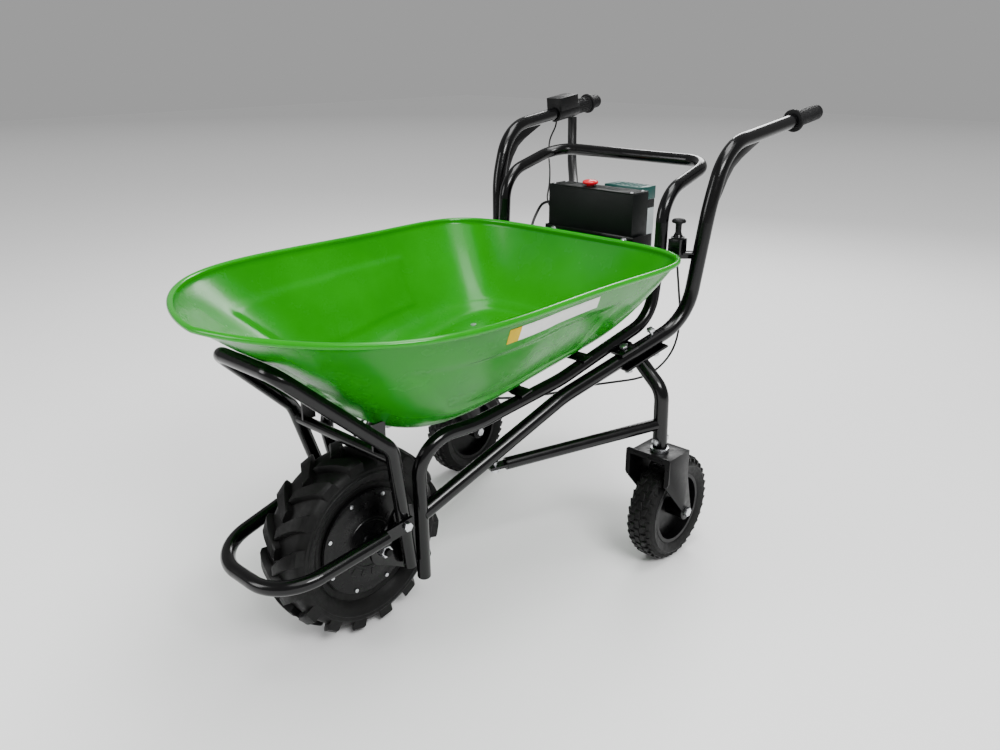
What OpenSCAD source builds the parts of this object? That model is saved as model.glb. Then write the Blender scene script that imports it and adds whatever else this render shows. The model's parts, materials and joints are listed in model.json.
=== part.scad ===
// Power wheelbarrow: a hub-motor drive wheel in front, a steel tub on a bent-tube frame, and two
// swivelling casters under the handles. X points forward, Y to the driver's left, Z up.
// The origin is on the ground, in the middle of the whole length and width.

/* [Drive wheel] */
// Outer diameter of the drive tyre over its lugs
tyre_d = 390; // [325:5:470]
// Width of the drive tyre
tyre_w = 114; // [95:1:137]
// Height of the tread lugs
lug_h = 12; // [8:1:15]
// Lugs on each side of the tread
lug_count = 16; // [12:1:20]
// Diameter of the rim where the tyre's beads sit
rim_d = 204; // [190:1:216]
// Diameter of the motor axle
axle_d = 16; // [12:1:20]
// Width of the hub over its two covers
hub_w = 104; // [92:1:110]
// Thickness of a hub cover
cover_t = 3.5; // [2.5:0.5:5]
// Air gap between the motor's stator and its magnets
air_gap = 2; // [1:0.5:4]

/* [Casters] */
// Diameter of a caster tyre
caster_d = 250; // [208:2:300]
// Width of a caster tyre
caster_w = 70; // [56:1:84]
// Distance of the caster's axle behind its swivel
caster_trail = 50; // [40:1:60]
// Distance between the two swivel axes
caster_track = 652; // [620:2:700]
// Diameter of a caster's axle bolt
caster_axle_d = 12; // [10:1:14]

/* [Frame] */
// Diameter of the handle tubes and the caster legs
handle_tube_d = 32; // [27:1:36]
// Diameter of the rails, the fork and the wheel guard
rail_tube_d = 28; // [24:1:32]
// Wall of every tube
tube_wall = 1.8; // [1.2:0.1:2.5]
// Distance from the tyre's side to a dropout plate
fork_gap = 27; // [20:1:35]
// Thickness of a dropout plate
dropout_t = 6; // [4:1:8]
// Distance from the tyre's front to the guard's centre line
guard_gap = 56; // [45:1:75]
// Height of the grip tips above the rails
grip_rise = 538; // [500:2:580]
// Diameter of a rubber grip
grip_d = 36; // [35:1:42]

/* [Tub] */
// Length of the tub over its rolled rim
tub_len = 983; // [900:1:1180]
// Width of the tub over its rolled rim
tub_w = 724; // [603:1:868]
// Thickness of the tub's sheet steel
tub_sheet = 1.2; // [0.8:0.1:2]
// Diameter of the rolled rim
bead_d = 12; // [8:1:14]
// Height of the rim above the rails
rim_rise = 266; // [240:1:300]
// Half width of the tub's flat floor at its rear end
floor_half_rear = 175; // [160:1:185]
// Half width of the tub's flat floor at its front end
floor_half_front = 140; // [125:1:150]

/* [Controls] */
// Width of the control box
box_w = 246; // [220:2:270]
// Depth of the control box, front to back
box_d = 62; // [56:1:66]
// Height of the control box
box_h = 150; // [125:2:165]
// Wall of the control box and of the battery case
box_wall = 2.5; // [2:0.5:3.5]
// Width of the battery
batt_w = 106; // [88:1:120]
// Depth of the battery, front to back
batt_d = 56; // [47:1:58]
// Height of the battery
batt_h = 180; // [168:2:200]
// Travel of the red stop button
button_travel = 4; // [3:0.5:6]
// Travel of the parking brake's knob
knob_travel = 18; // [12:1:22]

/* [Hidden] */
$fn = 48;

// Fits. Welded tubes keep seam between them, and turning pieces keep run.
seam = 0.15;
seat = 0.3;
run = 0.05;
eps = 0.01;
collar_half = 1;
collar_lift = 0.03;

// Driving places: the axle, the rails' height, and the tub's ends.
axle = [447, 0, tyre_d / 2];
deck = tyre_d + 37;
hr = handle_tube_d / 2;
rr = rail_tube_d / 2;
tub_rear = -237;
tub_front = tub_rear + tub_len;
rim_z_rear = deck + rim_rise + 9;
rim_z_front = deck + rim_rise;

// Drive wheel.
carcass_r = tyre_d / 2 - lug_h;
tyre_wall_t = 9;
bead_half = 38;
flange_r = rim_d / 2 + 9;
barrel_t = 3;
barrel_r = rim_d / 2 - 4;
hub_half = hub_w / 2;
cover_rim_y = bead_half + 4;
bearing_d = 40;
bearing_w = 12;
bearing_y = hub_half - cover_t - bearing_w;
stator_w = 34;
magnet_t = 4;
magnet_out = barrel_r - barrel_t - seam;
stator_r = magnet_out - magnet_t - air_gap;
screw_count = 8;
screw_ring_r = flange_r - 10;
dropout_in = tyre_w / 2 + fork_gap;
dropout_out = dropout_in + dropout_t;
nut_h = 11;
axle_end = dropout_out + nut_h + 7;
brake_drum_r = 58;

// Tube routes, left side.
upright_y = dropout_out + rr + seam;
rear_foot = [axle[0] - 90, upright_y, axle[2] - 93];
front_foot = [axle[0] - 54.5, upright_y, axle[2] - 50];
rear_knee = [axle[0] - 42, 152, deck + 3];
front_knee = [axle[0] + 19, 151, deck + 10];
rail_a = [269, 167, deck];
rail_b = [45, 195, deck + 37];
rail_c = [-215, 236, deck + 121];
riser_mid = [-249, 231, deck + 273];
riser_top = [-253, 230, deck + 387];
hoop_corner = [-443, 226, deck + 439];
nose_x = tub_front - 93;
nose_z = deck + rim_rise - 81;
front_corner = [nose_x, 88, nose_z];
handle_start = [axle[0] - 70, 128, axle[2] + 67];
handle_a = [47, 205, deck + 3];
handle_b = [-288, 285, deck + 113];
handle_c = [-311, 308, deck + grip_rise - 172];
handle_d = [-353, 314, deck + grip_rise - 50];
handle_tip = [-741, 328, deck + grip_rise];
handle_route = [handle_start, handle_a, handle_b, handle_c, handle_d, handle_tip];
handle_bends = [250, 110, 300, 110];
rail_route = [rear_foot, rear_knee, rail_a, rail_b, rail_c, riser_mid];
rail_bends = [70, 300, 300, 90];
guard_start = [axle[0] - 14, 143.3, axle[2] + 69];
guard_corner = [axle[0] + tyre_d / 2 + guard_gap, 112, axle[2] + 20];
stem_x = -148;
stem_y = caster_track / 2;
crown_z = caster_d + 30;
leg_foot = [stem_x, stem_y, crown_z + 7 + 3 * seat];
leg_knee = [stem_x, stem_y - 4, deck - 9];
caster_axle = [stem_x - caster_trail, stem_y, caster_d / 2];
brace_drop = 62;

// Controls.
box_front = -293;
box_top = deck + 373;
box_rear = box_front - box_d;
batt_front = box_rear - 6;
batt_mid_y = 47;
batt_top = box_top + 4;
button = [-325, -23];
button_head_d = 38;
knob = [-266, 263];
knob_plate_z = deck + 262;
hand_dir = unit(handle_tip - handle_d);
grip_len = 112;
sleeve_len = 210;
grip_root = handle_tip - hand_dir * grip_len;

// Cable routes. Every point lies in the real run of its cable.
brake_cable_r = 2.5;
brake_stop = [axle[0] - 82, -66, axle[2] + 111];
brake_route = [[-266, 263, 688.7], [-270, 263, 668], [-280, 262, 630], [-290, 262, 590], [-299, 262, 545],
    [-302, 259, 500], [-293, 254, 462], [-270, 247, 434], [-235, 237, 415], [-190, 224, 409],
    [-120, 205, 415], [-50, 185, 420], [30, 160, 420], [100, 120, 420], [160, 60, 422], [210, -20, 420],
    [255, -85, 408], [295, -104, 390], [325, -98, 366], [347, -80, 344], [360, -69, 325], [365, -66, 306.3]];
throttle_cable_r = 2.2;
throttle_entry = [-330, 735];
throttle_route = [[-557, -321, 918.5], [-548, -318, 904], [-505, -300, 875], [-472, -275, 840],
    [-435, -240, 810], [-392, -205, 780], [-362, -186, 755], [-345, -168, 741], [-333, -148, 736],
    [-330, -121.5, 735]];
motor_cable_r = 3.5;
motor_entry = [-312, 752];
motor_route = [[-312, -121.5, 752], [-312, -142, 751], [-312, -162, 742], [-303, -170, 722],
    [-284, -168, 697], [-266, -164, 660], [-256, -160, 605], [-240, -162, 550],
    [-200, -172, 492], [-140, -182, 458], [-60, -184, 440], [40, -170, 422], [130, -155, 410],
    [210, -146, 396], [280, -140, 372], [330, -130, 340],
    [350, -114, 308], [366, -98, 274], [380, -95.5, 242], [398, -95.5, 218], [415, -95.5, 205],
    [428, -103, 198], [436, -113, 196], [443, -117.5, 195], [447, -114, 195], [447, -108.3, 195]];
sleeve_r = 12.5;
sleeve_entry = [-92, 742];
sleeve_route = [[-630, -324, 926.8], [-630, -323, 900], [-622, -316, 860], [-596, -294, 815],
    [-550, -252, 775], [-490, -200, 752], [-440, -150, 744], [-405, -112, 742],
    [-380, -94, 742], [-353.5, -92, 742]];

// ---- vectors, bars and bent tubes ----
function unit(v) = v / norm(v);
function side(w) = unit(cross(w, abs(w[2]) < 0.9 ? [0, 0, 1] : [1, 0, 0]));
function cols(u, v, w, o) = [[u[0], v[0], w[0], o[0]], [u[1], v[1], w[1], o[1]], [u[2], v[2], w[2], o[2]],
    [0, 0, 0, 1]];
function bend_t(a, b, c, r) = r * tan(acos(unit(b - a) * unit(c - b)) / 2);
function on_line(a, b, x) = a + (b - a) * (x - a[0]) / (b[0] - a[0]);
function flip(p) = [p[0], -p[1], p[2]];

// A solid round bar from a to b.
module bar(a, b, r) {
    w = unit(b - a);
    u = side(w);
    multmatrix(cols(u, cross(w, u), w, a)) cylinder(h = norm(b - a), r = r);
}

// A solid bend of radius br at b, between the directions a-b and b-c.
module elbow(a, b, c, br, r) {
    d1 = unit(b - a);
    d2 = unit(c - b);
    n = unit(d2 - d1 * (d1 * d2));
    start = b - d1 * bend_t(a, b, c, br);
    multmatrix(cols(-n, d1, cross(d1, n), start + n * br))
        rotate_extrude(angle = acos(d1 * d2)) translate([br, 0]) circle(r = r);
}

// A solid rod through every point of pts, with bends[i] at the inner points. A collar a hair
// wider than the rod joins each straight to its bend.
module rod(pts, bends, r) {
    last = len(pts) - 1;
    for (i = [0 : last - 1]) {
        d = unit(pts[i + 1] - pts[i]);
        cut_a = i == 0 ? 0 : bend_t(pts[i - 1], pts[i], pts[i + 1], bends[i - 1]);
        cut_b = i == last - 1 ? 0 : bend_t(pts[i], pts[i + 1], pts[i + 2], bends[i]);
        from = pts[i] + d * cut_a;
        to = pts[i + 1] - d * cut_b;
        bar(from, to, r);
        if (i > 0) bar(from - d * collar_half, from + d * collar_half, r + collar_lift);
        if (i < last - 1) {
            bar(to - d * collar_half, to + d * collar_half, r + collar_lift);
            elbow(pts[i], pts[i + 1], pts[i + 2], bends[i], r);
        }
    }
}

// The same route as a real tube.
module tube(pts, bends, r) {
    difference() {
        rod(pts, bends, r);
        rod(pts, bends, r - tube_wall);
    }
}
module pipe(a, b, r) {
    difference() {
        bar(a, b, r);
        bar(a - unit(b - a), b + unit(b - a), r - tube_wall);
    }
}

// Draws its children on the left, or mirrored on the right.
module on_side(right) {
    mirror([0, right ? 1 : 0, 0]) children();
}

// A plate of size s, centred on p, its long side along d and its flat side facing up.
module tilted_plate(p, d, s) {
    w = unit([0, 0, 1] - d * d[2]);
    multmatrix(cols(d, cross(w, d), w, p)) cube(s, center = true);
}

// A hexagon-headed bolt through p along w: shank from -down to up, head on the upper end.
module bolt(p, w, r, up, down, nut = true) {
    u = side(w);
    multmatrix(cols(u, cross(w, u), w, p)) {
        translate([0, 0, -down - r - 3]) cylinder(h = up + down + r + 3, r = r);
        translate([0, 0, up]) cylinder(h = r * 1.2, r = r * 1.9, $fn = 6);
        if (nut) translate([0, 0, -down - r * 1.4]) cylinder(h = r * 1.4, r = r * 1.9, $fn = 6);
    }
}

// The points of a swept tube, and the tube itself, for cables.
function ring(o, u, v, r, n) = [for (k = [0 : n - 1]) o + r * (cos(360 * k / n) * u + sin(360 * k / n) * v)];
function knot(p, i) = p[max(0, min(len(p) - 1, i))];
function spline(p, i, t) = 0.5 * (2 * knot(p, i) + (knot(p, i + 1) - knot(p, i - 1)) * t
    + (2 * knot(p, i - 1) - 5 * knot(p, i) + 4 * knot(p, i + 1) - knot(p, i + 2)) * t * t
    + (3 * knot(p, i) - knot(p, i - 1) - 3 * knot(p, i + 1) + knot(p, i + 2)) * t * t * t);
function smooth(p, k) = concat([for (i = [0 : len(p) - 2]) for (j = [0 : k - 1]) spline(p, i, j / k)],
    [p[len(p) - 1]]);
function heading(p, i) = unit(p[min(len(p) - 1, i + 1)] - p[max(0, i - 1)]);
module cable(route, r, n = 8, k = 3) {
    p = smooth(route, k);
    m = len(p);
    frames = [for (i = 0, u = side(heading(p, 0)); i < m; i = i + 1,
        u = i < m ? unit(u - heading(p, i) * (u * heading(p, i))) : u) [u, cross(heading(p, i), u)]];
    rings = [for (i = [0 : m - 1]) each ring(p[i], frames[i][0], frames[i][1], r, n)];
    walls = [for (i = [0 : m - 2]) for (j = [0 : n - 1]) [i * n + j, (i + 1) * n + j,
        (i + 1) * n + (j + 1) % n, i * n + (j + 1) % n]];
    ends = [[for (j = [0 : n - 1]) j], [for (j = [n - 1 : -1 : 0]) (m - 1) * n + j]];
    polyhedron(points = rings, faces = concat(walls, ends), convexity = 6);
}

// ---- frame ----
module handle_tube(right) {
    color("#16171a")
    on_side(right)
    difference() {
        tube(handle_route, handle_bends, hr);
        bar(rear_foot, rear_knee, rr + seam);
        handle_bolt_holes();
    }
}

bolt_a = on_line(handle_a, handle_b, -119);
bolt_b = on_line(handle_a, handle_b, -193);
main_dir = unit(handle_b - handle_a);
main_up = unit([0, 0, 1] - main_dir * main_dir[2]);
clamp_bolt_r = 5;
module handle_bolt_holes() {
    for (p = [bolt_a, bolt_b]) bar(p - main_up * 40, p + main_up * 40, clamp_bolt_r + seam);
}

module rail(right) {
    color("#16171a")
    on_side(right)
    difference() {
        tube(concat([for (i = [0 : 4]) rail_route[i]], [riser_mid + unit(riser_mid - rail_c) * 6]),
            rail_bends, rr);
        translate(riser_mid - [30, 30, 0]) cube([60, 60, 30]);
    }
}

module rear_hoop() {
    foot = riser_mid - unit(riser_top - riser_mid) * 6;
    color("#16171a")
    difference() {
        tube([foot, riser_top, hoop_corner, flip(hoop_corner), flip(riser_top), flip(foot)],
            [80, 60, 60, 80], rr);
        for (m = [0, 1]) on_side(m == 1)
            translate(riser_mid - [30, 30, 30 - seam]) cube([60, 60, 30]);
    }
}

module front_support() {
    color("#16171a")
    tube([front_foot, front_knee, front_corner, flip(front_corner), flip(front_knee), flip(front_foot)],
        [50, 35, 35, 50], rr);
}

// The bar over the wheel, with the two lugs that carry the tub's front corner.
bridge_r = 11;
bridge_end = front_knee + [-6, 0, -26];
lug_top = deck + 47;
module fork_bridge() {
    color("#16171a")
    difference() {
        union() {
            pipe(bridge_end, flip(bridge_end), bridge_r);
            for (s = [-1, 1])
                translate([bridge_end[0] - 15, s * 108 - 2.5, bridge_end[2] + bridge_r - 2])
                    cube([30, 5, lug_top - bridge_end[2] - bridge_r + 2]);
        }
        for (m = [0, 1]) on_side(m == 1) {
            bar(front_foot, front_knee, rr + seam);
            elbow(front_foot, front_knee, front_corner, 50, rr + seam);
        }
        tub_outer_cut();
    }
}

module dropout(right) {
    color("#1b1c1f")
    on_side(right)
    translate([0, dropout_out, 0])
    rotate([90, 0, 0])
    linear_extrude(height = dropout_t)
    difference() {
        union() {
            translate([axle[0], axle[2]]) circle(r = 31);
            polygon([[axle[0] + 8, axle[2] + 30], [axle[0] - 44, axle[2] + 84], [axle[0] - 78, axle[2] + 70],
                [axle[0] - 100, axle[2] - 66], [axle[0] - 50, axle[2] - 62], [axle[0] + 4, axle[2] - 31]]);
        }
        translate([axle[0], axle[2]]) circle(r = axle_d / 2 + seam);
    }
}

guard_flat = 7;
guard_out = unit(cross([0, 0, 1], guard_corner - guard_start));
module guard_hoop() {
    d = unit(guard_corner - guard_start);
    color("#16171a")
    union() {
        tube([guard_start + d * 44, guard_corner, flip(guard_corner), flip(guard_start + d * 44)],
            [95, 95], rr);
        for (m = [0, 1]) on_side(m == 1)
            difference() {
                tilted_plate(guard_start + d * 18, d, [68, guard_flat, 2 * rr - tube_wall]);
                bar(guard_start - guard_out * 20, guard_start + guard_out * 20, 5 + seam);
            }
    }
}

leg_top = on_line(handle_a, handle_b, -150) - main_up * (hr + seam + 5);
clamp_mid = (bolt_a + bolt_b) / 2;
brace_leg = [stem_x, stem_y - 3, crown_z + brace_drop];
brace_end = on_line(handle_start, handle_a, 212) - [0, 0, hr + 14];
module stem_bolt_hole() {
    translate([stem_x, stem_y, crown_z + 24]) rotate([0, 90, 0])
        cylinder(h = 80, r = 4 + seam, center = true);
}
module above_saddle(drop) {
    multmatrix(cols(main_dir, cross(main_up, main_dir), main_up, clamp_mid - main_up * (hr + seam + drop)))
        translate([-150, -60, 0]) cube([300, 120, 90]);
}
module caster_leg(right) {
    color("#16171a")
    on_side(right)
    difference() {
        union() {
            difference() {
                tube([leg_top + [0, -34, 28], leg_knee, leg_foot], [50], hr);
                above_saddle(3);
            }
            tilted_plate(clamp_mid - main_up * (hr + seam + 2.5), main_dir, [120, 46, 5]);
        }
        handle_bolt_holes();
        stem_bolt_hole();
    }
}
module leg_brace(right) {
    d = unit(brace_end - brace_leg);
    color("#16171a")
    on_side(right)
    difference() {
        union() {
            pipe(brace_leg, brace_end - d * 24, rr - 1);
            bar(brace_end - d * 34, brace_end - d * 23, rr - 2);
            tilted_plate(brace_end - d * 8, d, [44, 24, 6]);
        }
        bar(leg_knee, leg_foot, hr + seam);
        translate(brace_end) cylinder(h = 60, r = 4 + seam, center = true);
    }
}

// A curved web inside each handle's upper bend.
module gusset(right) {
    e = unit(handle_d - handle_c);
    up = unit(e - hand_dir * (e * hand_dir));
    color("#16171a")
    on_side(right)
    difference() {
        multmatrix(cols(hand_dir, up, cross(hand_dir, up), handle_d))
            translate([0, 0, -2.5])
                linear_extrude(height = 5)
                    polygon([[128, -6], [68, -4], [36, -9], [10, -20], [-12, -38], [-30, -62], [-53, -112],
                        [-34, -124], [-12, -98], [6, -74], [30, -52], [60, -38.5], [98, -27],
                        [130, -hr - 2]]);
        rod(handle_route, handle_bends, hr + seam);
    }
}

// Plates that tie each rail to its handle tube, above the caster leg.
module joint_plates() {
    color("#1b1c1f")
    for (m = [0, 1]) on_side(m == 1) {
        low = bolt_a;
        high = on_line(rail_b, rail_c, -128);
        difference() {
            joint_plate(low + main_up * (hr + 3.2), high + [0, 0, -rr - 4]);
            rod(rail_route, rail_bends, rr + seam);
            rod(handle_route, handle_bends, hr + seam);
            handle_bolt_holes();
        }
    }
}
module joint_plate(a, b) {
    tilted_plate(a, main_dir, [46, 40, 6]);
    tilted_plate((a + b) / 2 + [0, -8, 0], main_dir, [46, 34, 10]);
}

// ---- tub ----
tub_n = 72;
tub_rows = 9;
flare_nose = 1.15;
flare_side = 0.7;
floor_rear_x = -110;
floor_front_x = axle[0] - 72;
floor_slope = 0.165;
nose_power = 0.698;
tail_power = 0.242;
function floor_z(x) = deck + 5 + floor_slope * (floor_front_x + 22 - x);
function rim_half(u) = tub_w * (0.5 + 0.259 * u + 0.283 * u * u) * pow(1 - u, nose_power)
    * pow(1 + u, tail_power) / 1.005;
function rim_x(u) = tub_rear + tub_len * (1 + u) / 2;
function rim_z(u) = rim_z_rear + (rim_z_front - rim_z_rear) * (1 + u) / 2;
function corner(c) = sign(c) * pow(abs(c), 0.45);
function floor_x(c) = (floor_rear_x + floor_front_x) / 2 - corner(c) * (floor_front_x - floor_rear_x) / 2;
function floor_half(c, s) = (floor_half_rear + floor_half_front - corner(c)
    * (floor_half_front - floor_half_rear)) / 2 * corner(s);
// Share of the way out, and of the way up, at each row of the wall.
fillet_rows = [[0, 0], [0.05, 0.004], [0.10, 0.018], [0.15, 0.045], [0.20, 0.085]];
function flare(a) = cos(a) >= 0 ? flare_side : flare_nose + (flare_side - flare_nose) * abs(sin(a));
function wall_share(k, a) = k < 5 ? fillet_rows[k]
    : let (h = 0.085 + (k - 4) * 0.915 / (tub_rows - 5))
        [0.20 + 0.80 * pow((h - 0.085) / 0.915, flare(a)), h];
function tub_point(a, k, inset) = let (
        u = -cos(a),
        side_y = sin(a) >= 0 ? 1 : -1,
        edge = bead_d / 2 + inset,
        rim = [rim_x(u) * (1 - 2 * edge / tub_len) + edge * (tub_rear + tub_front) / tub_len,
            side_y * rim_half(u) * (1 - 2 * edge / tub_w), rim_z(u)],
        base = [floor_x(cos(a)), side_y * floor_half(cos(a), abs(sin(a))), 0],
        shrunk = [base[0], base[1], floor_z(base[0])],
        share = wall_share(k, a))
    [shrunk[0] + (rim[0] - shrunk[0]) * share[0], shrunk[1] + (rim[1] - shrunk[1]) * share[0],
        shrunk[2] + (rim[2] - shrunk[2]) * share[1]];
function lift(p, inset) = [p[0], p[1], p[2] + inset];
// Once round at one angle: up the inside, over the rolled rim, and down the outside.
function tub_section(a) = concat(
    [for (k = [0 : tub_rows - 2]) lift(tub_point(a, k, 0), tub_sheet * (k < 4 ? 1 : 1.7))],
    [for (t = [200 : -40 : -120]) rim_bead(a, t)],
    [for (k = [tub_rows - 2 : -1 : 0]) tub_point(a, k, 0)]);
function rim_bead(a, t) = let (p = tub_point(a, tub_rows - 1, 0), q = tub_point(a, tub_rows - 1, 10),
        out = unit([p[0] - q[0], p[1] - q[1], 0]))
    p + out * (bead_d / 2 * cos(t)) + [0, 0, bead_d / 2 * sin(t)];
module tub_shell() {
    section = len(tub_section(0));
    ring_pts = [for (i = [0 : tub_n - 1]) each tub_section(360 * (i + 0.5) / tub_n)];
    mid_x = (floor_rear_x + floor_front_x) / 2;
    pts = concat(ring_pts, [[mid_x, 0, floor_z(mid_x) + tub_sheet], [mid_x, 0, floor_z(mid_x)]]);
    walls = [for (i = [0 : tub_n - 1]) for (j = [0 : section - 2]) let (
            a = i * section + j, b = (i + 1) % tub_n * section + j)
        each [[a, b, b + 1], [a, b + 1, a + 1]]];
    inside = [for (i = [0 : tub_n - 1]) [tub_n * section, (i + 1) % tub_n * section, i * section]];
    outside = [for (i = [0 : tub_n - 1]) [tub_n * section + 1, i * section + section - 1,
        (i + 1) % tub_n * section + section - 1]];
    polyhedron(points = pts, faces = concat(walls, inside, outside), convexity = 8);
}
// The room that the tub takes, kept clear by the pieces under it.
module tub_outer_cut() {
    ring_pts = [for (k = [0 : tub_rows - 1]) for (i = [0 : tub_n - 1])
        tub_point(360 * (i + 0.5) / tub_n, k, 0) - [0, 0, 3 * seat]];
    walls = [for (k = [0 : tub_rows - 2]) for (i = [0 : tub_n - 1]) let (
            a = k * tub_n + i, b = k * tub_n + (i + 1) % tub_n)
        each [[a, b, b + tub_n], [a, b + tub_n, a + tub_n]]];
    floor_face = [for (i = [tub_n - 1 : -1 : 0]) i];
    top_face = [for (i = [0 : tub_n - 1]) (tub_rows - 1) * tub_n + i];
    polyhedron(points = ring_pts, faces = concat(walls, [floor_face], [top_face]), convexity = 6);
}
module tub() {
    color("#13a818")
    tub_shell();
}

// The flat straps under the tub's floor, stepped down onto the rails, and the bolts through them.
strap_t = 4;
strap_w = 32;
strap_x = [-20, 150];
floor_angle = atan(floor_slope);
function rail_at(x) = x < rail_b[0] ? on_line(rail_b, rail_c, x) : on_line(rail_a, rail_b, x);
module tub_straps() {
    color("#1b1c1f")
    for (x = strap_x) {
        top = floor_z(x) - seat;
        foot = rail_at(x);
        drop = min(0, foot[2] + rr + strap_t + 1 - top);
        difference() {
            translate([x, 0, top]) rotate([0, floor_angle, 0]) translate([-strap_w / 2, 0, 0])
                rotate([90, 0, 90]) linear_extrude(height = strap_w)
                    polygon([[-foot[1] - 14, drop - strap_t], [-foot[1] + 14, drop - strap_t],
                        [-150, -strap_t], [150, -strap_t], [foot[1] - 14, drop - strap_t],
                        [foot[1] + 14, drop - strap_t], [foot[1] + 14, drop], [foot[1] - 16, drop],
                        [148, 0], [-148, 0], [-foot[1] + 16, drop], [-foot[1] - 14, drop]]);
            for (m = [0, 1]) on_side(m == 1) rod(rail_route, rail_bends, rr + seam);
            for (m = [-1, 1])
                translate([x, m * tub_bolt_y, top]) rotate([0, floor_angle, 0])
                    cylinder(h = 60, r = tub_bolt_r + seam, center = true);
        }
    }
}
tub_bolt_r = 3;
tub_bolt_y = 118;
module tub_bolts() {
    color("#c9ccd0")
    for (x = strap_x) for (m = [-1, 1])
        translate([x, m * tub_bolt_y, floor_z(x)]) rotate([0, floor_angle, 0]) {
            translate([0, 0, tub_sheet + seat]) cylinder(h = 3, r = 7);
            translate([0, 0, -14]) cylinder(h = 14 - seat, r = tub_bolt_r);
            translate([0, 0, -11]) cylinder(h = 5, r = 6, $fn = 6);
        }
}

// ---- drive wheel ----
module at_axle(y) {
    translate([axle[0], y, axle[2]]) rotate([90, 0, 0]) children();
}
// A ring about the axle: from y0 to y1, between two radii.
module hub_ring(y0, y1, r_in, r_out) {
    at_axle(y1) difference() {
        cylinder(h = y1 - y0, r = r_out, $fn = 120);
        translate([0, 0, -1]) cylinder(h = y1 - y0 + 2, r = r_in, $fn = 120);
    }
}
module drive_tyre() {
    tread_half = tyre_w / 2 - 6;
    bead_r = rim_d / 2 + seam;
    lug_len = tread_half * 1.22;
    color("#1d1d1e")
    at_axle(0) union() {
        rotate_extrude($fn = 160) difference() {
            polygon([[bead_r, -bead_half + 3.2], [bead_r + 20, -bead_half], [bead_r + 42, -tyre_w / 2],
                [carcass_r - 22, -tyre_w / 2], [carcass_r - 6, -tread_half + 4], [carcass_r, -tread_half / 2],
                [carcass_r, tread_half / 2], [carcass_r - 6, tread_half - 4], [carcass_r - 22, tyre_w / 2],
                [bead_r + 42, tyre_w / 2], [bead_r + 20, bead_half], [bead_r, bead_half - 3.2]]);
            polygon([[bead_r - 5, -bead_half + 14], [bead_r + 20, -bead_half + 9],
                [bead_r + 42, -tyre_w / 2 + tyre_wall_t], [carcass_r - 24, -tyre_w / 2 + tyre_wall_t],
                [carcass_r - 12, -tread_half + 8], [carcass_r - 12, tread_half - 8],
                [carcass_r - 24, tyre_w / 2 - tyre_wall_t], [bead_r + 42, tyre_w / 2 - tyre_wall_t],
                [bead_r + 20, bead_half - 9], [bead_r - 5, bead_half - 14]]);
        }
        intersection() {
            difference() {
                cylinder(h = tyre_w - 8, r = tyre_d / 2, center = true, $fn = 160);
                cylinder(h = tyre_w, r = carcass_r - 10, center = true, $fn = 160);
            }
            for (s = [-1, 1]) for (i = [0 : lug_count - 1])
                rotate([0, 0, 360 * (i + (s > 0 ? 0 : 0.5)) / lug_count - 90])
                    translate([carcass_r, 0, s * (tread_half / 2 - 2)])
                        rotate([s * 52, 0, 0]) cube([2 * lug_h + 12, lug_len, 20], center = true);
        }
    }
}
module drive_rim() {
    color("#202124")
    difference() {
        at_axle(0) rotate_extrude($fn = 120)
            polygon([[barrel_r - barrel_t, -bead_half - 4], [barrel_r - barrel_t, bead_half + 4],
                [flange_r, bead_half + 4], [flange_r, bead_half], [rim_d / 2, bead_half],
                [rim_d / 2, bead_half - 16], [barrel_r, bead_half - 20], [barrel_r, -bead_half + 20],
                [rim_d / 2, -bead_half + 16], [rim_d / 2, -bead_half], [flange_r, -bead_half],
                [flange_r, -bead_half - 4]]);
        cover_screw_holes(2.5 + seam);
    }
}
module cover_screw_holes(r) {
    for (i = [0 : screw_count - 1])
        at_axle(0) rotate([0, 0, 360 * (i + 0.5) / screw_count]) translate([screw_ring_r, 0, 0])
            cylinder(h = 2 * hub_half + 20, r = r, center = true);
}
// A dished hub cover; its lip seats on the rim and its middle holds a bearing.
module motor_cover(right) {
    lip_y = cover_rim_y + seam;
    color("#232427")
    on_side(right)
    difference() {
        at_axle(0) rotate_extrude($fn = 120)
            polygon([[bearing_d / 2 + run, -hub_half], [bearing_d / 2 + 12, -hub_half],
                [screw_ring_r - 26, -hub_half + 1], [screw_ring_r - 12, -lip_y - cover_t],
                [flange_r - 2, -lip_y - cover_t], [flange_r - 2, -lip_y], [screw_ring_r - 12, -lip_y],
                [screw_ring_r - 28, -hub_half + cover_t + 1], [bearing_d / 2 + 8, -hub_half + cover_t],
                [bearing_d / 2 + 8, -bearing_y], [bearing_d / 2 + run, -bearing_y]]);
        cover_screw_holes(2.5 + seam);
    }
}
module cover_screws() {
    lip_y = cover_rim_y + seam + cover_t;
    color("#b9bbbf")
    for (s = [-1, 1]) for (i = [0 : screw_count - 1])
        at_axle(0) rotate([0, 0, 360 * (i + 0.5) / screw_count]) translate([screw_ring_r, 0, 0])
            mirror([0, 0, s > 0 ? 1 : 0]) {
                translate([0, 0, lip_y + seam]) cylinder(h = 2.6, r = 4.2);
                translate([0, 0, bead_half - 2]) cylinder(h = lip_y - bead_half + 4, r = 2.5);
            }
}
module motor_axle() {
    color("#9a9da1")
    hub_solid(-axle_end, axle_end, axle_d / 2);
}
module hub_solid(y0, y1, r) {
    at_axle(y1) cylinder(h = y1 - y0, r = r);
}
module stator() {
    inner = axle_d / 2 + seam;
    color("#a86a32")
    difference() {
        hub_ring(-stator_w / 2, stator_w / 2, inner, stator_r);
        for (i = [0 : 17]) at_axle(0) rotate([0, 0, 20 * i]) translate([stator_r - 14, 0, 0])
            cube([20, 7, stator_w + 2], center = true);
    }
}
module magnet_ring() {
    color("#55585c")
    hub_ring(-stator_w / 2, stator_w / 2, magnet_out - magnet_t, magnet_out);
}
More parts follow.
